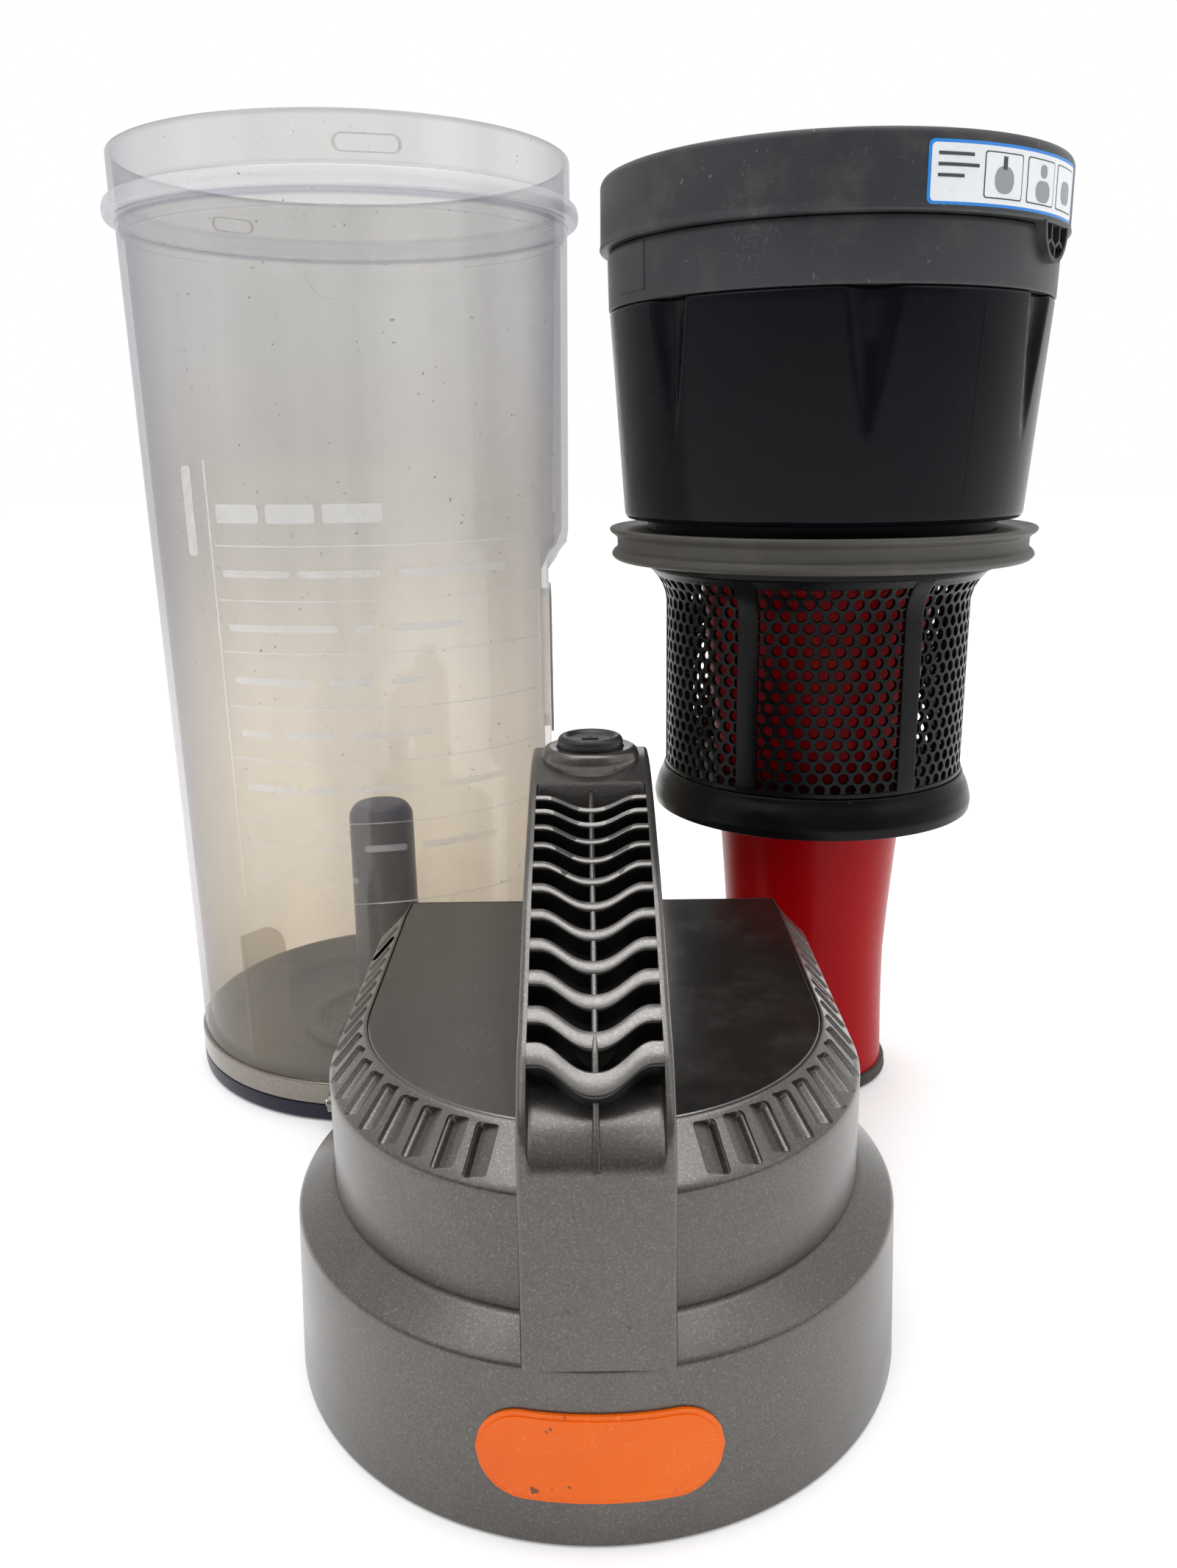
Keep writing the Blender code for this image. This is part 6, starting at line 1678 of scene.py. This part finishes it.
bore_rings = [
    [(r * MM * math.cos(math.tau * i / 48), r * MM * math.sin(math.tau * i / 48), z * MM) for i in range(48)]
    for r, z in ((3.4, 94.0), (3.4, 146.0), (10.7, 146.0), (10.7, 180.0))
]
boss_line = rounded(
    [
        (0.02 * MM, 158.4 * MM),
        (15.6 * MM, 158.4 * MM),
        (15.4 * MM, 167.0 * MM, 0.8 * MM),
        (14.6 * MM, 169.3 * MM, 0.9 * MM),
        (13.2 * MM, 170.0 * MM, 0.7 * MM),
        (11.4 * MM, 169.7 * MM, 0.5 * MM),
        (0.02 * MM, 169.7 * MM),
    ],
    4,
)
boss = loose_mesh("button_boss", *lathe_grid(boss_line, 64), place=lid_at + Vector((0, 48 * MM, 0)))
bore = loose_mesh("button_bore", *stack(bore_rings), place=lid_at + Vector((0, 48 * MM, 0)))
cut_away(handle, [boss], "UNION")
cut_away(handle, [channel, bore])
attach(handle, "lid")
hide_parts("handle_frame")

# The ribs take a lighter copy of the handle's paint as painted light on their tops, with painted shade on faces
# turned away from the top.
rib_lit_and_shaded_paint = metallic_paint(
    "rib_pewter_lit_and_shaded", (0.125, 0.118, 0.111), (0.18, 0.171, 0.162), 0.28, 0.6, gap_shade=True,
)
rib_places = (-68.6, -57.2, -46.8, -37.2, -27.8, -18.6, -9.6, -1.0, 7.2, 14.8, 21.8)
rib_inside = channel_half + 0.4 * MM
rib_dip = 7.4 * MM
rib_back_half = 1.2 * MM
rib_front_extra = 2.2 * MM
for k, y in enumerate(rib_places):
    share = k / (len(rib_places) - 1)
    spot = on_line(top_line, y * MM)
    ahead = (on_line(top_line, (y + 1) * MM) - on_line(top_line, (y - 1) * MM)).normalized()
    up = Vector((-ahead.y, ahead.x))
    dip = rib_dip * (1 - 0.32 * share)
    half_top = rib_back_half + rib_front_extra * (1 - share) ** 2
    rings = []
    for i in range(41):
        across = -1 + i / 20
        wide = abs(across)
        wave = 0.5 + 0.5 * math.cos(math.pi * min(1.0, wide / 0.84) ** 1.15)
        back = -dip * wave
        lift = -0.5 * MM - 1.5 * MM * wave
        centre = spot + ahead * back + up * lift
        foot = -7.6 - 1.5 * wave
        section = (
            (-0.7, foot), (-1.0, -1.3), (-0.97, -0.4), (-0.8, -0.05), (0.8, 0.0), (0.97, -0.35), (1.0, -1.2),
            (0.7, foot),
        )
        ring = []
        for u, v in section:
            p = centre + ahead * (u * half_top) + up * (v * MM)
            ring.append((across * rib_inside, p.x, p.y))
        rings.append(ring)
    mesh_piece(f"grip_rib_{k + 1:02d}", *stack(rings), lid_at, "lid", "pewter_paint", rib_lit_and_shaded_paint, 60)

spine = [(Vector((-83.6 * MM, 99.4 * MM)), Vector((-79.0 * MM, 98.0 * MM)))]
spine += [(Vector((-81.8 * MM, 104.6 * MM)), Vector((-77.6 * MM, 101.0 * MM)))]
spine += [(Vector((-77.8 * MM, 109.4 * MM)), Vector((-74.4 * MM, 104.0 * MM)))]
spine += [(Vector((-72.0 * MM, 114.6 * MM)), Vector((-69.4 * MM, 107.0 * MM)))]
for p, q in zip(moved_line(top_line, 2.6 * MM), moved_line(top_line, 11.4 * MM)):
    if -67 * MM <= p.x <= 29 * MM:
        spine.append((p, q))
rings = []
for p, q in spine:
    rings.append([
        (-0.95 * MM, q.x, q.y), (-0.8 * MM, p.x, p.y), (-0.35 * MM, p.x, p.y + 0.4 * MM),
        (0.35 * MM, p.x, p.y + 0.4 * MM), (0.8 * MM, p.x, p.y), (0.95 * MM, q.x, q.y),
    ])
mesh_piece("grip_spine", *stack(rings), lid_at, "lid", "pewter_paint", handle_paint, 60)

# The black liner closes the loop behind the ribs, and a dark grey cover closes its underside.
liner_plastic = moulded("handle_liner_black", (0.006, 0.006, 0.007), 0.42, 1.3, 260.0, dust=0.05)
upper = [p for p in moved_line(top_line, 8.6 * MM) if -62 * MM <= p.x <= 27 * MM]
lower = [p for p in moved_line(top_line, 10.2 * MM) if -62 * MM <= p.x <= 27 * MM]
loop = [tuple(p) for p in upper] + [tuple(p) for p in reversed(lower)]
liner = mesh_piece(
    "rib_liner", *side_prism(loop, -channel_half + 0.2 * MM, channel_half - 0.2 * MM), lid_at, "lid",
    "black_plastic", liner_plastic,
)
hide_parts("handle_liner")


# ---- Release button ----
# A dished black thumb button in a pewter collar, with a plain ring and bar moulded in its face. It
# presses a rod that runs down the rear leg to the lock.
button_plastic = moulded("button_black", (0.012, 0.012, 0.014), 0.30, 1.5, 320.0, dust=0.18, wear=0.3)
cap = rounded(
    [
        (0.02 * MM, 155.40 * MM),
        (4.0 * MM, 155.40 * MM),
        (4.0 * MM, 160.40 * MM),
        (10.3 * MM, 160.40 * MM, 0.3 * MM),
        (10.3 * MM, 172.20 * MM, 1.2 * MM),
        (9.2 * MM, 173.40 * MM, 0.8 * MM),
        (7.9 * MM, 173.30 * MM, 0.6 * MM),
        (6.6 * MM, 172.30 * MM, 0.8 * MM),
        (3.0 * MM, 171.90 * MM, 1.0 * MM),
        (0.02 * MM, 171.85 * MM),
    ],
    5,
)
button_at = lid_at + Vector((0, 48 * MM, 0))
button = mesh_piece(
    "thumb_button", *lathe_grid(cap, 96), button_at, "release_button", "black_plastic", button_plastic, 50,
)
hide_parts("release_button")
for name, x0, x1, y0, y1 in (
    ("button_mark_bar", -2.6, 2.6, -0.45, 0.45), ("button_mark_dot", -0.45, 0.45, 1.5, 2.7),
):
    mark = block(x0 * MM, x1 * MM, y0 * MM, y1 * MM, 171.6 * MM, 172.35 * MM)
    bevelled(mesh_piece(name, *mark, button_at, "release_button", "black_plastic", button_plastic), 0.2 * MM)


# ---- Pieces kept from the part ----
# The seals, pins, screws, spring, rod, lock and inner trays keep their own solids and only take
# the finish of what they are made of.
def bare_metal(name, colour, roughness):
    material, shader, metal = new_material(name)
    where = place_of(metal)
    lines = noise_at(metal, where, 240.0, 2.0, 0.5, (1.0, 1.0, 0.1))
    spots = between(metal, noise_at(metal, where, 140.0, 4.0), 0.60, 0.72)
    base = mixed(metal, lines, colour, tuple(c * 0.82 for c in colour))
    base = mixed(metal, spots * 0.35, base, (0.20, 0.16, 0.12))
    rough = between(metal, lines, 0.3, 0.7, roughness, roughness + 0.12) + spots * 0.25
    feed(
        metal.tree, shader, Base_Color=base, Metallic=1.0 - spots * 0.4, Roughness=rough,
        Normal=bump_from(metal, lines, 0.08, 0.0002),
    )
    return material


zinc = bare_metal("zinc_plated_steel", (0.58, 0.58, 0.57), 0.26)
black_rubber = moulded("black_rubber_trim", (0.018, 0.018, 0.017), 0.62, 1.3, 220.0, dust=0.3)
inner_black = moulded("inner_black_plastic", (0.014, 0.014, 0.016), 0.40, 1.3, 260.0, dust=0.3)
inner_grey = moulded("inner_grey_plastic", (0.050, 0.052, 0.056), 0.44, 1.3, 260.0, dust=0.3)
cover_grey = moulded("grip_cover_grey", (0.034, 0.035, 0.038), 0.42, 1.3, 300.0, dust=0.15, wear=0.4)
white_felt, felt_shader, fibres = new_material("pressed_felt")
where = place_of(fibres)
fluff = noise_at(fibres, where, 700.0, 4.0, 0.7)
grime = noise_at(fibres, where, 26.0, 4.0)
base = mixed(fibres, fluff, (0.46, 0.45, 0.42), (0.68, 0.67, 0.63))
base = mixed(fibres, between(fibres, grime, 0.45, 0.7) * 0.6, base, (0.25, 0.22, 0.18))
feed(fibres.tree, felt_shader, Base_Color=base, Roughness=0.95, Normal=bump_from(fibres, fluff, 0.6, 0.0005))
kept = {
    zinc: [
        "hinge_pin", "latch_pin", "catch_pin", "button_spring", "cone_screw_1", "cone_screw_2", "cone_screw_3",
    ]
    + ["liner_screw_1", "liner_screw_2", "liner_screw_3", "liner_screw_4", "leg_screw_1", "leg_screw_2"],
    black_rubber: ["door_seal", "cone_gasket"],
    inner_black: ["cone_pack", "lid_liner", "lock_catch"],
    inner_grey: ["vortex_plate", "push_rod"],
    cover_grey: ["handle_underside"],
    taupe_rubber: ["lid_seal"],
    white_felt: ["felt_pad"],
}
for finish, names in kept.items():
    for name in names:
        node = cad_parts[name]
        for place in node.material_slots:
            place.material = finish


# ---- Studio ----
# A plain pale floor with a faint glow of its own, broad soft lights, and the camera.
backdrop_finish, backdrop_shader, paper = new_material("pale_backdrop")
where = place_of(paper)
tone = noise_at(paper, where, 2.0, 3.0)
base = mixed(paper, tone, (0.90, 0.90, 0.90), (0.93, 0.93, 0.93))
feed(paper.tree, backdrop_shader, Base_Color=base, Roughness=0.75)
backdrop_shader.inputs["Emission Color"].default_value = (1.0, 1.0, 1.0, 1.0)
backdrop_shader.inputs["Emission Strength"].default_value = 0.19
clear_from_below = paper.node("ShaderNodeBsdfTransparent", inputs={"Color": (1, 1, 1, 1)})
underside = paper.node("ShaderNodeNewGeometry", output=6)
sheet_shader = Field(paper.tree, backdrop_shader.outputs[0])
one_sided = paper.node("ShaderNodeMixShader", inputs={0: underside, 1: sheet_shader, 2: clear_from_below})
paper.tree.links.new(one_sided.socket, paper.tree.nodes["Material Output"].inputs["Surface"])
floor_mesh = bpy.data.meshes.new("studio_floor")
floor_mesh.from_pydata(
    [(-6, -6, -0.0004), (6, -6, -0.0004), (6, 6, -0.0004), (-6, 6, -0.0004)], [], [(0, 1, 2, 3)],
)
floor_mesh.materials.append(backdrop_finish)
floor = bpy.data.objects.new("studio_floor", floor_mesh)
bpy.context.scene.collection.objects.link(floor)

world = bpy.data.worlds.new("studio")
bpy.context.scene.world = world
world.use_nodes = True
air = Field(world.node_tree)
compass = air.node("ShaderNodeTexCoord", output=0)
back = air.node("ShaderNodeSeparateXYZ", inputs={0: compass}, output=1)
up = air.node("ShaderNodeSeparateXYZ", inputs={0: compass}, output=2)
glow = between(air, back + up * 0.9, -0.75, 0.50, 0.15, 1.0)
white = air.node("ShaderNodeCombineColor", inputs={0: glow, 1: glow, 2: glow})
sky = world.node_tree.nodes["Background"]
world.node_tree.links.new(white.socket, sky.inputs["Color"])
sky.inputs["Strength"].default_value = 1.0


def soft_light(name, at, target, size, power, colour=(1, 1, 1)):
    data = bpy.data.lights.new(name, "AREA")
    data.shape = "RECTANGLE"
    data.size, data.size_y = size
    data.energy = power
    data.color = colour
    lamp = bpy.data.objects.new(name, data)
    lamp.location = at
    lamp.rotation_euler = (Vector(target) - Vector(at)).to_track_quat("-Z", "Y").to_euler()
    bpy.context.scene.collection.objects.link(lamp)
    return lamp


soft_light("key", (-0.9, -0.9, 1.5), (0.09, -0.05, 0.15), (1.1, 1.1), 3.6)
soft_light("fill", (1.3, -0.7, 1.1), (0.09, -0.05, 0.15), (0.9, 1.3), 2.2)
soft_light("top", (0.1, 0.1, 1.7), (0.09, -0.05, 0.1), (1.6, 1.4), 21.0)

camera_data = bpy.data.cameras.new("camera")
camera_data.lens = 29.03
camera_data.sensor_width = 36.0
camera_data.sensor_fit = "VERTICAL"
camera_data.sensor_height = 36.0
camera = bpy.data.objects.new("camera", camera_data)
camera.location = (0.0921, -0.5383, 0.2623)
camera.rotation_euler = (
    Matrix.Rotation(math.radians(90.0 - 15.12), 3, "X") @ Matrix.Rotation(math.radians(-0.75), 3, "Z")
).to_euler()
bpy.context.scene.collection.objects.link(camera)
bpy.context.scene.camera = camera
bpy.context.scene.view_settings.view_transform = "Standard"
